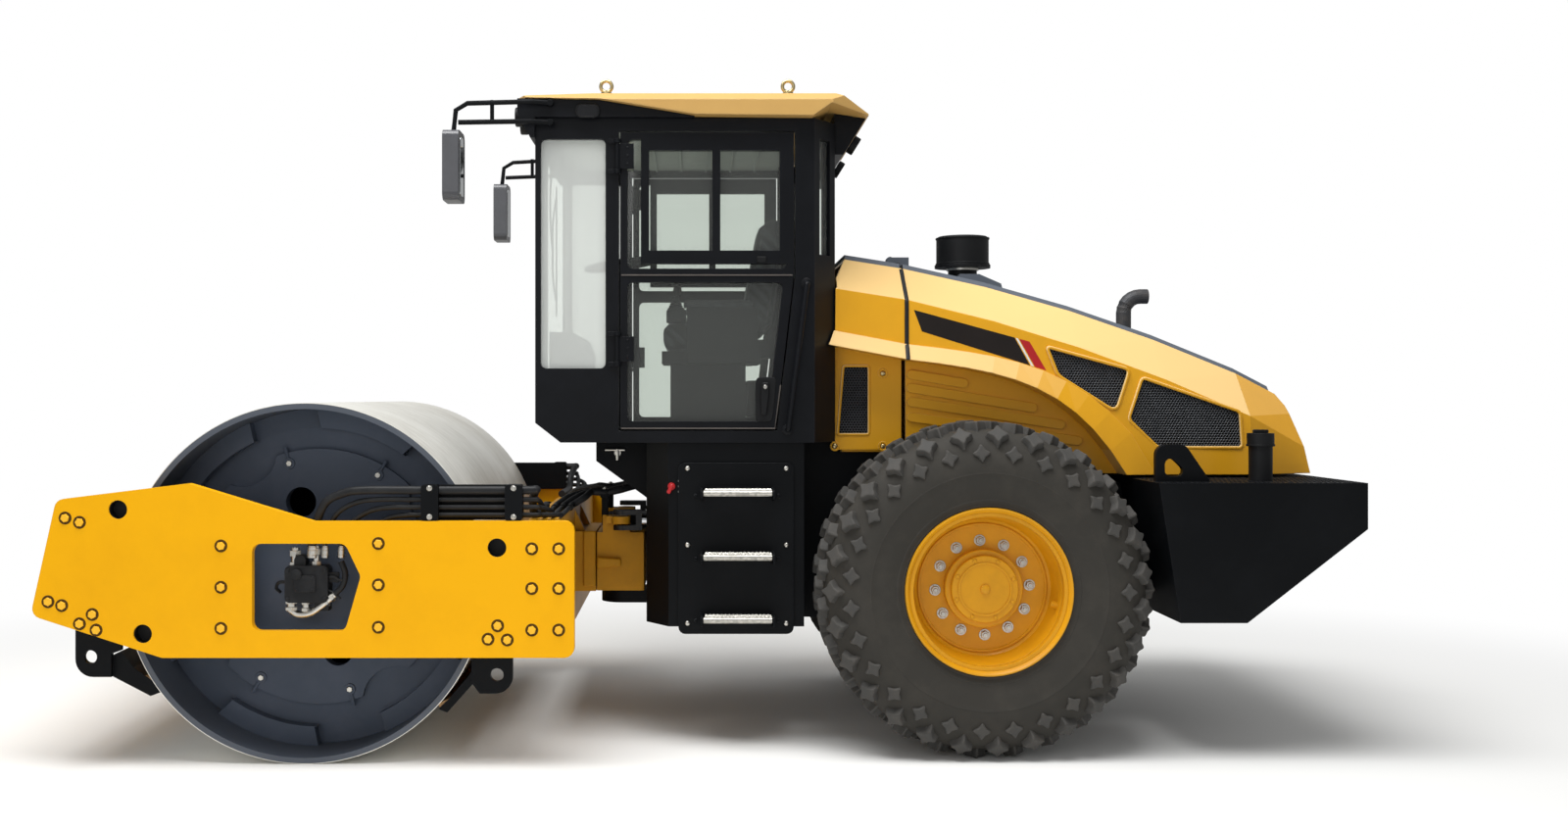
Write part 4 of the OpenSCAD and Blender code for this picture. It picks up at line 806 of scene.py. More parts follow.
# %% Drum hoses
HOSE_R = [11, 11, 11, 18]
HOSE_ROW = [1054, 1086, 1118, 1157]
HOSE_START = [232, 160, 92, 38]
HOSE_TURN = [110, 74, 38, -4]
hoses, collars, hose_ends = [], [], []
for r, z, x, turn in zip(HOSE_R, HOSE_ROW, HOSE_START, HOSE_TURN):
    q, top = 960 + turn, 1028 + r + 0.3
    path = [(x, 1090, 871.5), (x + 4, 1090, 962), (x + 50, 1090, z - 62), (x + 130, 1094, z - 14),
            (x + 225, 1104, z), (481, 1104, z), (932, 1104, z), (975 + (q - 975) * 0.25, 1080, z - 2),
            (q, 1014, z + (top - z) * 0.45), (q, 904, top), (q, 420, top)]
    path = [Vector((px + DRUM_X, -py, pz)) for px, py, pz in path]
    hoses.append(tube(path, r, 8))
    hose_ends.append((path[-1], r))
    foot, rise = path[0], (path[1] - path[0]).normalized()
    for a, b, grow in ((2, 46, 4), (10, 14, 5.5), (30, 34, 5.5), (46, 52, 2)):
        collars.append(sweep([foot + rise * a, foot + rise * b], disc(r + grow, 16), up=(1, 0, 0)))
put("hydraulic_hoses", paired(merge(*hoses)), hose_rubber, "front_frame", ["drum_hoses"])
put("hose_collars", paired(merge(*collars)), zinc_bolt, "front_frame")
print("hoses end on the beam at", [[round(c) for c in p] for p, _ in hose_ends])

# %% [markdown]
# The drum motor shows through the window in the side plate. The solid gives its block and flange; what a
# fitter adds is here: plated straight fittings on top, an elbow pipe below, cap screws round the flange and
# a short hose.

# %% Motor fittings
def by_drum(x, y, z):
    return Vector((DRUM_X + x, -y, DRUM_Z + z))


def fitting(base, way, radius, length):
    """A hydraulic union: a barrel with a hexagon nut at each end."""
    base, way = by_drum(*base), Vector(way).normalized()
    parts = [(0.0, 1.0, radius * 0.72, 16), (0.0, 0.22, radius, 6), (0.55, 0.85, radius, 6)]
    return merge(*[sweep([base + way * length * a, base + way * length * b], disc(r, n))
                   for a, b, r, n in parts])


def pipe(points, radius, steps=8, sides=12):
    return tube([by_drum(*p) for p in points], radius, steps, sides)


ELBOW = [(-52, 1080, -112), (-20, 1086, -128), (30, 1092, -122), (76, 1096, -92), (112, 1098, -62)]
steel_bits = merge(
    fitting((-36, 1075, 76), (0, 0, 1), 26, 76),
    fitting((54, 1082, 78), (0, 0, 1), 20, 84),
    fitting((-52, 1080, -72), (0, 0, -1), 27, 44),
    fitting((12, 1084, -74), (0, 0, -1), 22, 46),
    pipe(ELBOW, 15, 6, 14),
    fitting((96, 1098, -76), (0.8, 0, 0.7), 22, 52))
put("motor_unions", paired(steel_bits), zinc_bolt, "front_frame")
cables = merge(
    pipe([(132, 1098, -44), (168, 1098, -4), (178, 1096, 46), (160, 1092, 96)], 13),
    pipe([(92, 1102, 30), (132, 1110, 34), (166, 1104, 18), (190, 1092, 40)], 5, sides=8),
    pipe([(88, 1102, -20), (126, 1106, -30), (160, 1100, -60)], 5, sides=8),
    pipe([(-70, 1090, 10), (-104, 1084, 6), (-120, 1060, -20), (-112, 1030, -40)], 7, sides=10))
put("motor_hoses", paired(cables), hose_rubber, "front_frame")
round_cap = lathe([(0.1, 0), (22, 0), (22, 12), (19, 14), (0.1, 14)], 24)
plates = merge(
    flank(pad(box(-46, -34, 44, 36), 10, 10), DRUM_X + 16, -1119, DRUM_Z + 4),
    flank(round_cap, DRUM_X - 18, -1128, DRUM_Z + 46),
    flank(pad(box(-30, -22, 34, 22), 6, 16), DRUM_X + 118, -1084, DRUM_Z + 30))
put("motor_covers", paired(plates), cast_black, "front_frame")
motor_screws = on_flanks([(DRUM_X + u, DRUM_Z + v) for u in (-18, 48) for v in (-20, 30)], 1128, 6, 6)
motor_screws += on_flanks([(DRUM_X + u, DRUM_Z + v) for u in (-58, 98) for v in (-60, 62)], 1120, 8, 8)
bolts("motor_screws", motor_screws, cast_black, "front_frame")

# %% [markdown]
# Each drum head is held by four screws, and a weld bead runs outwards from each. Black cups sit behind the
# sling holes in the side plates, painted shade that makes the holes look black.

# %% Drum head welds and shade in the sling holes
HEAD_SCREWS = [(math.radians(a), 512) for a in (60, 105, 240, 285)]
beads, places = [], []
for a, r in HEAD_SCREWS:
    ray = Vector((math.cos(a), 0, math.sin(a)))
    x, z = DRUM_X + r * ray.x, DRUM_Z + r * ray.z
    places.append((x, z))
    face = from_left("drum_heads", x, z).y
    path = [Vector((DRUM_X, face, DRUM_Z)) + ray * d for d in (r + 24, r + 50, r + 74)]
    beads.append(sweep(path, disc(8, 8)))
    beads.append(flank(lathe([(13, 0), (25, 0), (24, 6), (13, 6)], 28), x, face, z))
put("head_welds", paired(merge(*beads)), head_paint, "drum")
bolts("drum_head_screws", on_flanks(places, -face, 14, 12), zinc_bolt, "drum")
SLING_HOLES = [(-2444, 1079), (-2341, 562), (-867, 920)]
# Black cups behind the sling holes: painted shade, so the holes look black.
cup = lathe([(0.1, -14), (38, -14), (38, 32), (41, 32), (41, -17), (0.1, -17)], 40)
sling_hole_shade_cups = merge(*[flank(cup, x, -1108, z) for x, z in SLING_HOLES])
put("sling_pockets", paired(sling_hole_shade_cups), cast_black, "front_frame")

# %% [markdown]
# The steps are galvanised planks with a rounded nose and rows of teeth punched up from the top, so that a
# muddy boot doesn't slip. The teeth repeat and come from the setting-out tree.

# %% Step treads
TREAD_TOPS = (594, 867, 1146)
planks, brackets, teeth = [], [], []
for top in TREAD_TOPS:
    planks.append(block((-8, -866, top - 30), (294, -788, top - 7), 10))
    planks.append(sweep([(-6, -860, top - 17), (292, -860, top - 17)], disc(13, 16)))
    for x in (-18, 296):
        plate = [(-874, top - 44), (-752, top - 58), (-752, top - 2), (-862, top - 2)]
        brackets.append(crosswise(pad(plate, 10, 8, 1), x))
    for row in range(4):
        for i in range(17):
            x = 6 + 17 * i + (8.5 if row % 2 else 0)
            for y in (-796 - 19 * row, 796 + 19 * row):
                teeth.append(((x, y, top - 7.2), (0, 0, 1), (1, 0, 0), (6.6, 7, 8)))
put("tread_brackets", paired(merge(*brackets)), chassis_enamel, "rear_frame")
put("tread_planks", paired(merge(*planks)), galvanised, "rear_frame", ["step_treads"])
tooth = pattern("tooth", stack(box(-1, -1, 1, 1), ((1, 0), (0.75, 0.6), (0.3, 1))))
scatter("tread_teeth", tooth, teeth, galvanised, "rear_frame")
panel_y = -from_left("step_panels", 160, 1000).y
panel_bolts = [(x, z) for x in (-76, 360) for z in (1232, 894, 548)]
scatter("panel_bolts", dome_head, on_flanks(panel_bolts, panel_y, 11, 6), zinc_bolt, "rear_frame")
tread_bolts = [(x, top - 34) for x in (-40, 326) for top in TREAD_TOPS]
bolts("tread_bolts", on_flanks(tread_bolts, panel_y, 7, 5), chassis_enamel, "rear_frame")

# %% [markdown]
# The hood breathes through punched screens. A second tree fills an outline with them: a grid of points is
# sheared so that its triangles are equal-sided, the dual of those triangles is a honeycomb, whatever lies
# off the outline is cut away, and the edges that stay become thin bars. The outline is the mesh that the
# tree sits on.

# %% Screens in the hood and the cowl
SCREEN_INPUTS = {"Outline": "Geometry", "Pitch": "Float", "Bar": "Float", "Finish": "Material"}
screen, SCREEN, given = new_tree("punched_screen", SCREEN_INPUTS, "Screen")
reach = add(screen, "GeometryNodeBoundBox", {0: given["Outline"]}).outputs
span = axes(screen, vector(screen, "SUBTRACT", reach["Max"], reach["Min"]))
middle = vector(screen, "ADD", reach["Max"], reach["Min"])
middle = add(screen, "VectorMath", {"Scale": 0.5, 0: middle}, operation="SCALE")
pitch = given["Pitch"]
row = calc(screen, "MULTIPLY", pitch, math.sqrt(3) / 2)
wide = calc(screen, "ADD", span["X"], span["Z"])
columns = calc(screen, "CEIL", calc(screen, "DIVIDE", wide, pitch))
rows = calc(screen, "CEIL", calc(screen, "DIVIDE", span["Z"], row))
grid = add(screen, "GeometryNodeMeshGrid", {
    "Size X": calc(screen, "MULTIPLY", columns, pitch), "Vertices X": calc(screen, "ADD", columns, 1),
    "Size Y": calc(screen, "MULTIPLY", rows, row), "Vertices Y": calc(screen, "ADD", rows, 1)})
here = add(screen, "GeometryNodeInputPosition").outputs[0]
flat = axes(screen, here)
lean = calc(screen, "MULTIPLY_ADD", flat["Y"], 1 / math.sqrt(3), flat["X"])
upright = add(screen, "CombineXYZ", {"X": lean, "Z": flat["Y"]})
sheared = add(screen, "GeometryNodeSetPosition", {"Geometry": grid, "Position": upright, "Offset": middle})
thirds = add(screen, "GeometryNodeTriangulate", {0: sheared}, quad_method="SHORTEST_DIAGONAL")
comb = add(screen, "GeometryNodeDualMesh", {0: thirds})
aim = add(screen, "GeometryNodeRaycast", {
    "Target Geometry": given["Outline"], "Source Position": vector(screen, "ADD", here, (0, -0.2, 0)),
    "Ray Direction": (0, 1, 0), "Ray Length": 0.5}).outputs
on_panel = {"Geometry": comb, "Selection": aim["Is Hit"], "Position": aim["Hit Position"]}
laid = add(screen, "GeometryNodeSetPosition", on_panel)
off = add(screen, "FunctionNodeBooleanMath", {0: aim["Is Hit"]}, operation="NOT")
cut = add(screen, "GeometryNodeDeleteGeometry", {"Geometry": laid, "Selection": off})
lines = add(screen, "GeometryNodeMeshToCurve", {0: cut})
bar = add(screen, "GeometryNodeCurvePrimitiveCircle", {"Resolution": 4, "Radius": given["Bar"]})
bars = add(screen, "GeometryNodeCurveToMesh", {"Curve": lines, "Profile Curve": bar})
real = add(screen, "GeometryNodeRealizeInstances", {0: bars})
coated = add(screen, "GeometryNodeSetMaterial", {"Geometry": real, "Material": given["Finish"]})
add(screen, "NodeGroupOutput", {"Screen": coated})


def punched(name, outlines, material, body, node, pitch=13.0, bar=1.5):
    """Screens on the left flank as drawn, and their mirror images on the right."""
    shape = merge(*[(points, [list(range(len(points)))]) for points in outlines])
    meshes = []
    for half in (shape, mirrored(shape)):
        piece = put(name + "_outline", half, material, None)
        mesh = grown(piece, screen, SCREEN, {"Pitch": pitch * MM, "Bar": bar * MM, "Finish": material})
        meshes.append(([v.co / MM for v in mesh.vertices], [list(p.vertices) for p in mesh.polygons]))
        bpy.data.objects.remove(piece)
    done = put(name, merge(*meshes), material, body, [node])
    print(name, len(done.data.polygons), "faces")


def window(outline, node, radius=20, steps=4):
    """The rounded outline of a window, laid on the outer face of the panel behind it."""
    points = rounded([Vector((AXLE_X + x, z)) for x, z in outline], radius, steps)
    x, z = [sum(p[i] for p in points) / len(points) for i in (0, 1)]
    y = from_left(node, x, z).y
    return [Vector((p.x, y, p.y)) for p in points]


MESH_A = [(338, 1775), (703, 1675), (708, 1655), (659, 1500), (633, 1491), (390, 1645)]
MESH_B = [(770, 1636), (1211, 1482), (1222, 1319), (840, 1319), (708, 1447)]
COWL_GRILLE = [(-592, 1376), (-448, 1376), (-448, 1690), (-566, 1690)]
screen_steel = finish("punched_steel_black", "#4A4D52", "#595C61", 60, 2.0, 0.02, (0.35, 0.5),
                      "#6C6F74", 0.5)
hood_windows = [window(o, "hood_grilles") for o in (MESH_A, MESH_B)]
cowl_windows = [window(COWL_GRILLE, "cowl_grilles", 12)]
punched("hood_screens", hood_windows, screen_steel, "hood", "hood_grilles")
punched("cowl_screens", cowl_windows, screen_steel, "rear_frame", "cowl_grilles")


def frame_of(outline, node, width, proud, grow):
    """A moulded rim round a window, standing on the panel outside it."""
    flat = [Vector((p.x, p.z)) for p in outline]
    outer = inset(flat, -grow)
    faces = [from_left(node, p.x, p.y) for p in outer]
    sides = [hit.y for hit in faces if hit and hit.y < -450]
    y = sum(sides) / len(sides)
    path = [Vector((p.x, y, p.y)) for p in flat]
    section = [(-2, -width / 2), (proud - 2, -width / 2), (proud, -width / 2 + 3), (proud, width / 2 - 3),
               (proud - 2, width / 2), (-2, width / 2)]
    return sweep(path, section, closed=True, up=(0, -1, 0))


hood_rims = merge(*[frame_of(w, "hood_shell", 14, 7, 16) for w in hood_windows])
put("hood_window_rims", paired(hood_rims), hood_enamel, "hood")
put("cowl_window_rim", paired(frame_of(cowl_windows[0], "cowl_shell", 12, 6, 12)), hood_enamel, "rear_frame")

# %% [markdown]
# A plain dark stripe follows the shoulder of the hood and ends in a thin pale line and a red field. It is
# cut from foil, so it lies on the panel: each corner is found by a straight line from the side onto the
# hood.

# %% Hood stripe
STRIPE = [(944, 1940), (1465, 1797), (1540, 1667), (980, 1843)]
stripe_black = finish("foil_black", "#1A1412", "#201916", 200, 3.0, 0.01, (0.3, 0.4), "#222223",
                      1, shine=0.3)
stripe_pale = finish("foil_pale_grey", "#E6E6E2", "#DADAD6", 200, 3.0, 0.01, (0.3, 0.4), "#E6E6E2", 1)
stripe_red = finish("foil_red", "#B3161B", "#A01318", 200, 3.0, 0.01, (0.3, 0.4), "#B3161B", 1)


def foil(name, a, b, material):
    top = [Vector(STRIPE[0]).lerp(Vector(STRIPE[1]), a + (b - a) * i / 12) for i in range(13)]
    low = [Vector(STRIPE[3]).lerp(Vector(STRIPE[2]), a + (b - a) * i / 12) for i in range(13)]
    rows = []
    for p, q in zip(top, low):
        spots = [p.lerp(q, j / 4) for j in range(5)]
        rows.append([from_left("hood_shell", s.x, s.y) + Vector((0, -0.8, 0)) for s in spots])
    faces = [[i * 5 + j, i * 5 + j + 1, i * 5 + j + 6, i * 5 + j + 5] for i in range(12) for j in range(4)]
    front = ([p for r in rows for p in r], faces)
    back = ([p + Vector((0, 0.7, 0)) for p in front[0]], [f[::-1] for f in faces])
    put(name, paired(merge(front, back)), material, "hood")


foil("stripe_dark", 0.0, 0.87, stripe_black)
foil("stripe_pale", 0.88, 0.90, stripe_pale)
foil("stripe_red", 0.91, 1.0, stripe_red)

# %% [markdown]
# Behind each screen hangs a black sheet, painted shade for the engine bay, so nobody looks right through
# it. The cowl's cover is held by large quarter-turn screws in round dimples.

# %% Shade sheets and cover screws
# A black sheet behind a screen is painted shade for the engine bay behind it.
def shade_sheet(outline, depth):
    flat = inset([Vector((p.x, p.z)) for p in outline], -14)
    return flank(slab(flat, 4, 1), 0, outline[0].y + depth, 0)


put("hood_baffles", paired(merge(*[shade_sheet(w, 46) for w in hood_windows])), abs_black, "hood")
put("cowl_baffle", paired(shade_sheet(cowl_windows[0], 40)), abs_black, "rear_frame")
COVER_SCREWS = [(818, 1656), (598, 1322), (818, 1322)]
cover_y = -from_left("cowl_shell", 818, 1600).y
scatter("cover_screw_dimples", well_ring, on_flanks(COVER_SCREWS, cover_y, 23, 3), hood_enamel, "rear_frame")
scatter("cover_screws", dome_head, on_flanks(COVER_SCREWS, cover_y, 12, 6), yellow_zinc, "rear_frame")

# %% [markdown]
# The doors carry a sealing strip at the foot and at the middle rail, hinge screws, a handle plate with a
# lever and a lock, and the catch of the sliding pane. A grab rail stands behind each door on two feet.

# %% Door fittings
CAB_Y = 750
DOOR_FRONT, DOOR_REAR, DOOR_FOOT = -373, 394, 313
seal_grey = finish("door_seal_grey", "#4E4844", "#5C5651", 80, 2.0, 0.05, (0.5, 0.65), "#8C857E", 1)
strip = [(-3, -3), (2.5, -3), (3, 0), (2.5, 3), (-3, 3)]
seals = merge(sweep([(DOOR_FRONT + 4, -CAB_Y - 1, 1409), (DOOR_FOOT - 3, -CAB_Y - 1, 1409),
                     (DOOR_FOOT + 22, -CAB_Y - 1, 1600)], strip, up=(0, -1, 0)),
              sweep([(DOOR_FRONT + 4, -CAB_Y - 1, 2086), (DOOR_REAR - 6, -CAB_Y - 1, 2086)], strip,
                    up=(0, -1, 0)))
plate = flank(pad([(226, 1438), (298, 1438), (306, 1500), (318, 1636), (226, 1636)], 24, 5, 2), 0,
              -CAB_Y + 1, 0)
lever = flank(pad([(250, 1466), (272, 1466), (284, 1560), (284, 1612), (252, 1612), (246, 1560)], 10, 16, 4),
              0, -CAB_Y - 6, 0)
catch = flank(pad(box(230, 2140, 272, 2168), 6, 14, 3), 0, -CAB_Y + 2, 0)
lock = flank(lathe([(0.1, 0), (9, 0), (9, 5), (7, 7), (0.1, 7)], 24), 267, -CAB_Y - 22, 1592)
HINGE_ROWS = (1760, 2610)
screws = [(-340, z + d) for z in HINGE_ROWS for d in (-36, 0, 36)]
for side, label in SIDES:
    hand = (lambda shape: shape) if side == -1 else mirrored
    body = "door_" + label
    put("door_seals_" + label, hand(seals), seal_grey, body)
    put("door_handle_" + label, hand(merge(plate, lever, catch)), abs_black, body)
    put("door_lock_" + label, hand(lock), zinc_bolt, body)
    scatter("hinge_screws_" + label, dome_head, on_flanks(screws, CAB_Y + 13, 8, 4, [side]),
            cab_powder, body)
rail = tube([(450, -CAB_Y + 2, 2050), (450, -CAB_Y - 34, 2046), (444, -CAB_Y - 46, 2010),
             (410, -CAB_Y - 46, 1740), (372, -CAB_Y - 46, 1440), (368, -CAB_Y - 34, 1408),
             (366, -CAB_Y + 2, 1404)], 12.5, 8)
feet = merge(*[flank(lathe([(0.1, 0), (24, 0), (24, 5), (15, 9), (0.1, 9)], 24), x, -CAB_Y, z)
               for x, z in ((450, 2050), (366, 1404))])
put("grab_rails", paired(merge(rail, feet)), cab_powder, "rear_frame")

# %% [markdown]
# Two wipers hang from the head of the windscreen. Each has a motor boss, a pressed arm, a bridge with claws
# and a rubber blade. The mirrors get their glass, the side lamps a smoked lens in a black rim, and the work
# lamps bezels.

# %% Wipers, mirrors and lamps
SCREEN_X = -749
wiper_metal, wiper_rubber = [], []
for y in (-330, 330):
    wiper_metal.append(sweep([(SCREEN_X + 6, y, 2712), (SCREEN_X - 34, y, 2712)], disc(22, 20)))
    wiper_metal.append(sweep(smooth_path([(SCREEN_X - 26, y, 2716), (SCREEN_X - 34, y, 2560),
                                          (SCREEN_X - 30, y, 2390), (SCREEN_X - 22, y, 2300)]),
                             box(-4, -9, 4, 9)))
    wiper_metal.append(sweep(smooth_path([(SCREEN_X - 4, y, 2560), (SCREEN_X - 20, y, 2440),
                                          (SCREEN_X - 22, y, 2300), (SCREEN_X - 20, y, 2160),
                                          (SCREEN_X - 4, y, 2040)]), disc(5, 8)))
    wiper_rubber.append(block((SCREEN_X - 6, y - 5, 1960), (SCREEN_X + 2, y + 5, 2620), 2))
put("wiper_arms", merge(*wiper_metal), abs_black, "rear_frame")
put("wiper_blades", merge(*wiper_rubber), hose_rubber, "rear_frame")

mirror_glass = metal("silvered_mirror_glass", "#DDE2E4", "#D2D8DB", (0.03, 0.05), 50, depth_mm=0.0)
face_x = touch("mirror_heads", (-400, -850, 2550), (-1, 0, 0)).x
pane = crosswise(pad(box(-892, 2420, -808, 2676), 22, 3, 1), face_x - 1)
put("mirror_panes", paired(pane), mirror_glass, "rear_frame")

smoked = finish("smoked_polycarbonate", "#101114", "#17181B", 40, 3.0, 0.1, (0.2, 0.3), "#3A3C40",
                2, shine=0.2)
lamp_y = from_left("lamps", -515, 2805).y
oval = rounded(box(-564, 2778, -466, 2832), 27, 8)
rim = sweep([Vector((p.x, lamp_y + 2, p.y)) for p in oval], disc(5, 10), closed=True, up=(0, -1, 0))
put("side_lamp_rims", paired(rim), abs_black, "rear_frame")
LAMP_DEPTH = 28
ring = lathe([(36, 0), (44, 0), (44, LAMP_DEPTH), (41, LAMP_DEPTH + 4), (36, LAMP_DEPTH + 4)], 40)
WORK_LAMPS = [((-825, y, 2818), (-1, 0, 0)) for y in (-350, -560)]
WORK_LAMPS += [((682, -380, 2727), (0.85, 0, -0.527))]
bezels = []
for place, way in WORK_LAMPS:
    turn = Vector((0, 0, 1)).rotation_difference(Vector(way)).to_matrix().to_4x4()
    bezels.append(moved(ring, Matrix.Translation(place) @ turn))
put("work_lamp_bezels", paired(merge(*bezels)), abs_black, "rear_frame")
put("side_lamp_lenses", paired(flank(slab(inset(oval, 2), 4, 2), 0, lamp_y + 1, 0)), smoked, "rear_frame")

# %% [markdown]
# The seat is foam under cloth. The solid is copied, rebuilt as an even skin a little smaller than the
# solid, and blown up by air pressure in a cloth simulation for twenty frames without gravity. How far a
# point may move is capped, so the crown stays where foam would put it.

# %% Seat cushions
VOXEL = 9 * MM
SHRINK = 8 * MM
CAP = 24 * MM
cushion = bpy.data.objects.new("seat_cushion_pads", NODES["seat_cushions"].data.copy())
bpy.context.scene.collection.objects.link(cushion)
even = cushion.modifiers.new("even", "REMESH")
even.mode = "VOXEL"
even.voxel_size = VOXEL
smaller = cushion.modifiers.new("smaller", "DISPLACE")
smaller.mid_level = 0.0
smaller.strength = -SHRINK
cushion.data = evaluated(cushion)
cushion.modifiers.clear()
start = [v.co.copy() for v in cushion.data.vertices]
cloth = cushion.modifiers.new("cloth", "CLOTH")
cloth.settings.use_pressure = True
cloth.settings.uniform_pressure_force = 4.0
cloth.settings.effector_weights.gravity = 0.0
cloth.settings.quality = 5
cloth.point_cache.frame_start = 1
cloth.point_cache.frame_end = 20
for number in range(1, 21):
    bpy.context.scene.frame_set(number)
blown = evaluated(cushion)
cushion.modifiers.clear()
moves = [b.co - a for a, b in zip(start, blown.vertices)]
for vertex, a, move in zip(cushion.data.vertices, start, moves):
    vertex.co = a + move * min(1.0, CAP / max(move.length, 1e-9))
bpy.context.scene.frame_set(1)
print("cushions moved by up to", round(max(m.length for m in moves) / MM, 1), "mm before the cap")
softer = cushion.modifiers.new("softer", "SMOOTH")
softer.iterations = 6
cushion.modifiers.new("finer", "SUBSURF").levels = 1
cushion.data = evaluated(cushion)
cushion.modifiers.clear()
cushion.data.materials.clear()
cushion.data.materials.append(seat_cloth)
cushion.data.shade_smooth()
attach(cushion, "rear_frame")
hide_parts("seat_cushions")
print("cushions", len(cushion.data.polygons), "faces")

# %% [markdown]
# The driver's right and left hands rest on padded arms, each with a lever in a rubber bellows. The bellows
# is a lathe shape with folds, and the lever stands on it with a moulded knob.

# %% Arm rests and levers
ARM_TOP = 1966
arms = block((-96, -384, ARM_TOP), (226, -278, ARM_TOP + 34), 14)
put("arm_rests", paired(arms), seat_cloth, "rear_frame")
folds = [(0.1, 0), (40, 0)]
for i in range(6):
    folds += [(38 - 4 * i, 4 + 10 * i), (30 - 4 * i, 9 + 10 * i)]
folds += [(9, 64), (0.1, 64)]
pod = block((-176, -380, ARM_TOP - 70), (-84, -282, ARM_TOP - 6), 10)
stick = [(0.1, 60), (8, 60), (8, 100), (20, 108), (23, 126), (20, 146), (10, 154), (0.1, 154)]
at_hand = Matrix.Translation((-132, -331, ARM_TOP - 6))
put("lever_bellows", paired(moved(lathe(folds, 28), at_hand)), hose_rubber, "rear_frame")
put("levers", paired(merge(moved(lathe(stick, 28), at_hand), pod)), abs_black, "rear_frame")

# %% [markdown]
# Hoses cross the pivot in the middle of the machine. They bend at both of its axes, so each is made of two
# lengths that meet in a clamp on the yoke. Neither length is put on a body here.

# %% Hoses over the centre joint
CLAMP = Vector((-470, -232, 1092))
REAR_BENDS = ((-300, -180, 1128), (-200, -160, 1118), (-86, -150, 1096))
front_runs, rear_runs = [], []
for i, (end, r) in enumerate(hose_ends[:3]):
    lift = 35 * (i - 1)
    hold = CLAMP + Vector((0, lift, 0))
    low = [end + Vector((0, -60, 0)), end, end + Vector((6, 56, 6)), Vector((end.x + 60, -300 + lift, 1078)),
           hold + Vector((-60, -6, 6)), hold]
    front_runs.append(tube(low, r + 5, 10))
    high = [hold, hold + Vector((70, 8, 14))]
    high += [Vector((x, y + lift, z)) for x, y, z in REAR_BENDS]
    rear_runs.append(tube(high, r + 5, 10))
front_hoses = put("joint_hoses_front", paired(merge(*front_runs)), hose_rubber, None)
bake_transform(front_hoses)
rear_hoses = put("joint_hoses_rear", paired(merge(*rear_runs)), hose_rubber, None)
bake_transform(rear_hoses)
stand = merge(block((-486, -246, 980), (-454, -222, 1076), 3),
              block((-490, -282, 1072), (-450, -182, 1112), 6))
put("hose_stand", paired(stand), chassis_enamel, "centre_joint")
stand_bolts = [((-470, s * (232 + d), 1112), (0, 0, 1), (1, 0, 0), (8, 8, 6))
               for s in (-1, 1) for d in (-34, 34)]
bolts("hose_stand_bolts", stand_bolts, zinc_bolt, "centre_joint")
rib_y = from_left("yoke", -450, 765).y
rib = flank(pad([(-506, 738), (-392, 748), (-392, 782), (-506, 790)], 8, 30, 6), 0, rib_y + 1, 0)
put("yoke_ribs", paired(rib), joint_dust_and_shade_enamel, "centre_joint")
flange_hit = from_left("rear_beam", -540, 780)
if flange_hit:
    flange = flank(pad(box(-572, 650, -514, 912), 8, 16, 5), 0, flange_hit.y + 1, 0)
    put("joint_flanges", paired(flange), joint_dust_and_shade_enamel, "front_frame")

# %% [markdown]
# The tail deck is chequer plate, with raised lozenges at turns of forty-five degrees. The tree sets them
# out, and a straight line from above finds where the bare deck is.

# %% Chequer plate
lozenge_rim = ((1, 0), (0.6, 0.7), (0, 1), (-0.6, 0.7), (-1, 0), (-0.6, -0.7), (0, -1), (0.6, -0.7))
lozenge = pattern("lozenge", stack(lozenge_rim, ((1, -0.2), (0.92, 0.6), (0.7, 1))))
DECK_Z = 1184
deck = []
for i in range(29):
    for j in range(62):
        x, y = 1940 + 30 * i, -1030 + 34 * j
        tops = [touch(n, (x, y, 1500), (0, 0, -1)) for n in ("tail_ballast", "hood_shell", "tank_filler")]
        if tops[0] and abs(tops[0].z - DECK_Z) < 1 and not tops[1] and not tops[2]:
            turn = 0.7854 if (i + j) % 2 else -0.7854
            deck.append(((x, y, DECK_Z), (0, 0, 1), (*polar(1, turn), 0), (14, 4.5, 2)))
scatter("chequer_lozenges", lozenge, deck, chassis_enamel, "rear_frame")

# %% [markdown]
# What is left are single fittings: the polyurethane edges of the drum scrapers, the battery switch and the
# latch by the steps, the valve guards and the rings on the hubs, the filler's wing, and the bands and the
# neck clamp of the pre-cleaner.

# %% Small fittings
polyurethane = finish("scraper_polyurethane", "#B08A5E", "#9A774F", 120, 3.0, 0.2, (0.5, 0.7), "#C7A57C", 2)


def off_drum(degrees, gap):
    a = math.radians(degrees)
    return Vector((DRUM_X + (DRUM_Z + gap) * math.cos(a), 0, DRUM_Z + (DRUM_Z + gap) * math.sin(a)))


blades = []
for tip, heel in ((216.5, 210.5), (316.5, 322.5)):
    a, b = off_drum(tip, 12), off_drum(heel, 46)
    along = (b - a).normalized()
    out = Vector((along.z, 0, -along.x)) * (1 if tip < 270 else -1)
    ring = [a, b, b + out * 16, a + out * 16]
    blades.append(skin([[p + Vector((0, y, 0)) for p in ring] for y in (-1015, 1015)]))
put("scraper_blades", merge(*blades), polyurethane, "front_frame")

signal_red = finish("signal_red_moulding", "#B4161A", "#9E1317", 60, 2.0, 0.05, (0.3, 0.4), "#D24A4C", 2)
SWITCH = (-147, 1152)
flank_nodes = ("rear_chassis", "side_tanks", "step_panels", "cab_floor")


def flank_y(x, z):
    hits = [from_left(n, x, z) for n in flank_nodes]
    return min([h.y for h in hits if h], default=-700)


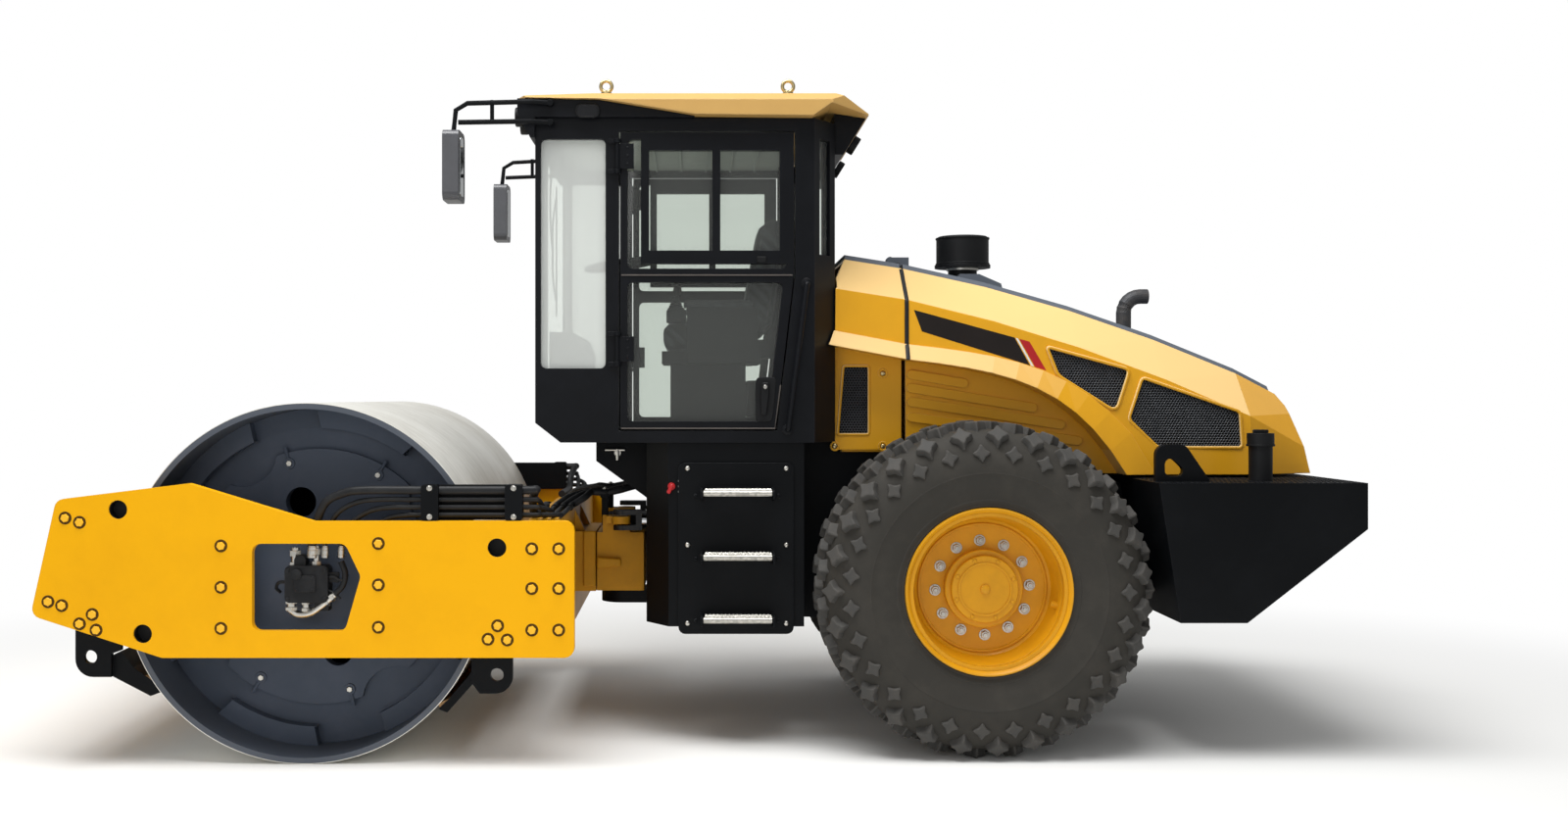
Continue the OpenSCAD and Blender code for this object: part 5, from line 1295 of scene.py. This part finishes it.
switch_y = flank_y(*SWITCH)
knob = merge(lathe([(0.1, 0), (17, 0), (17, 8), (14, 12), (0.1, 12)], 32),
             moved(pad([(-34, -9), (10, -7), (10, 7), (-34, 9)], 7, 26, 3), Matrix.Rotation(1.1, 4, "Z")))
put("battery_switch", flank(knob, SWITCH[0], switch_y, SWITCH[1]), signal_red, "rear_frame")
bolts("switch_bolts", on_flanks([(-110, z) for z in (1128, 1152, 1176)], -switch_y, 6, 5, [-1]),
      zinc_bolt, "rear_frame")
latch_y = flank_y(-412, 1286)
latch = merge(shifted(sweep([(-458, 0, 1304), (-366, 0, 1304)], disc(6, 12)), (0, latch_y - 16, 0)),
              shifted(sweep([(-400, 0, 1308), (-400, 0, 1256)], disc(8, 12)), (0, latch_y - 16, 0)),
              flank(lathe(box(0.1, 0, 16, 10), 24), -400, latch_y, 1290))
put("tank_latches", paired(latch), zinc_bolt, "rear_frame")

guard = [Vector((277, 0, -60)), Vector((330, 0, -71))]
half_tube = [polar(15, math.pi * i / 8) for i in range(9)]
half_tube += [polar(11, math.pi * (8 - i) / 8) for i in range(9)]
for side, label in SIDES:
    path = [p + Vector((AXLE_X, side * 960, WHEEL_Z)) for p in guard]
    put("valve_guard_" + label, sweep(path, half_tube, up=(0, 0, 1)), rim_enamel, "wheel_" + label)
    ring = lathe(box(108, 0, 116, 5), 64)
    plug = lathe([(0.1, 0), (20, 0), (20, 8), (14, 12), (0.1, 12)], 24)
    cap = flank(merge(ring, plug), AXLE_X, -945, WHEEL_Z)
    bead = flank(lathe([(268, 0), (282, 0), (279, 7), (271, 7)], 96), AXLE_X, -875, WHEEL_Z)
    shape = merge(cap, bead)
    put("hub_rings_" + label, shape if side == -1 else mirrored(shape), rim_enamel, "wheel_" + label)

filler = merge(lathe(box(48, 0, 60, 8), 32),
               shifted(pad(box(-34, -6, 34, 6), 5, 16, 3), (0, 0, 56)))
put("filler_wing", shifted(filler, (2419, -850, 1334)), abs_black, "rear_frame")
BOWL = (1269, 0, 2192)
bands = merge(*[lathe([(122, h), (130, h), (131, h + 4), (130, h + 8), (122, h + 8)], 64) for h in (2, 126)])
neck = lathe([(60, -26), (78, -26), (79, -18), (78, -10), (60, -10)], 48)
put("pre_cleaner_clamp", shifted(neck, BOWL), zinc_bolt, "hood")
put("pre_cleaner_bands", shifted(bands, BOWL), abs_black, "hood")

# %% [markdown]
# The cab has a pale ribbed headliner under the roof, and a rubber seal closes the seam between cowl and
# hood. The seal's path is found on the hood itself.

# %% Headliner and seam seal
headliner = finish("headliner_pale_felt", "#C4C8C2", "#B9BDB6", 90, 2.0, 0.3, (0.8, 0.95), "#C4C8C2",
                   3, shine=0.1)
lining = [block((-715, -692, 2758), (400, 692, 2774), 6)]
lining += [block((-640 + 130 * i, -680, 2750), (-630 + 130 * i, 680, 2760), 3) for i in range(8)]
put("cab_headliner", merge(*lining), headliner, "rear_frame")
seam = [from_left("hood_shell", 922, 1700 + 14 * i) for i in range(32)]
seam = [Vector((911, hit.y - 1, hit.z)) for hit in seam if hit and hit.y < -400]
seal_section = [(-3, -9), (4, -9), (6, -4), (6, 4), (4, 9), (-3, 9)]
put("hood_seam_seal", paired(sweep(seam, seal_section, up=(0, -1, 0))), hose_rubber, "rear_frame")
print("seam seal over", len(seam), "points")
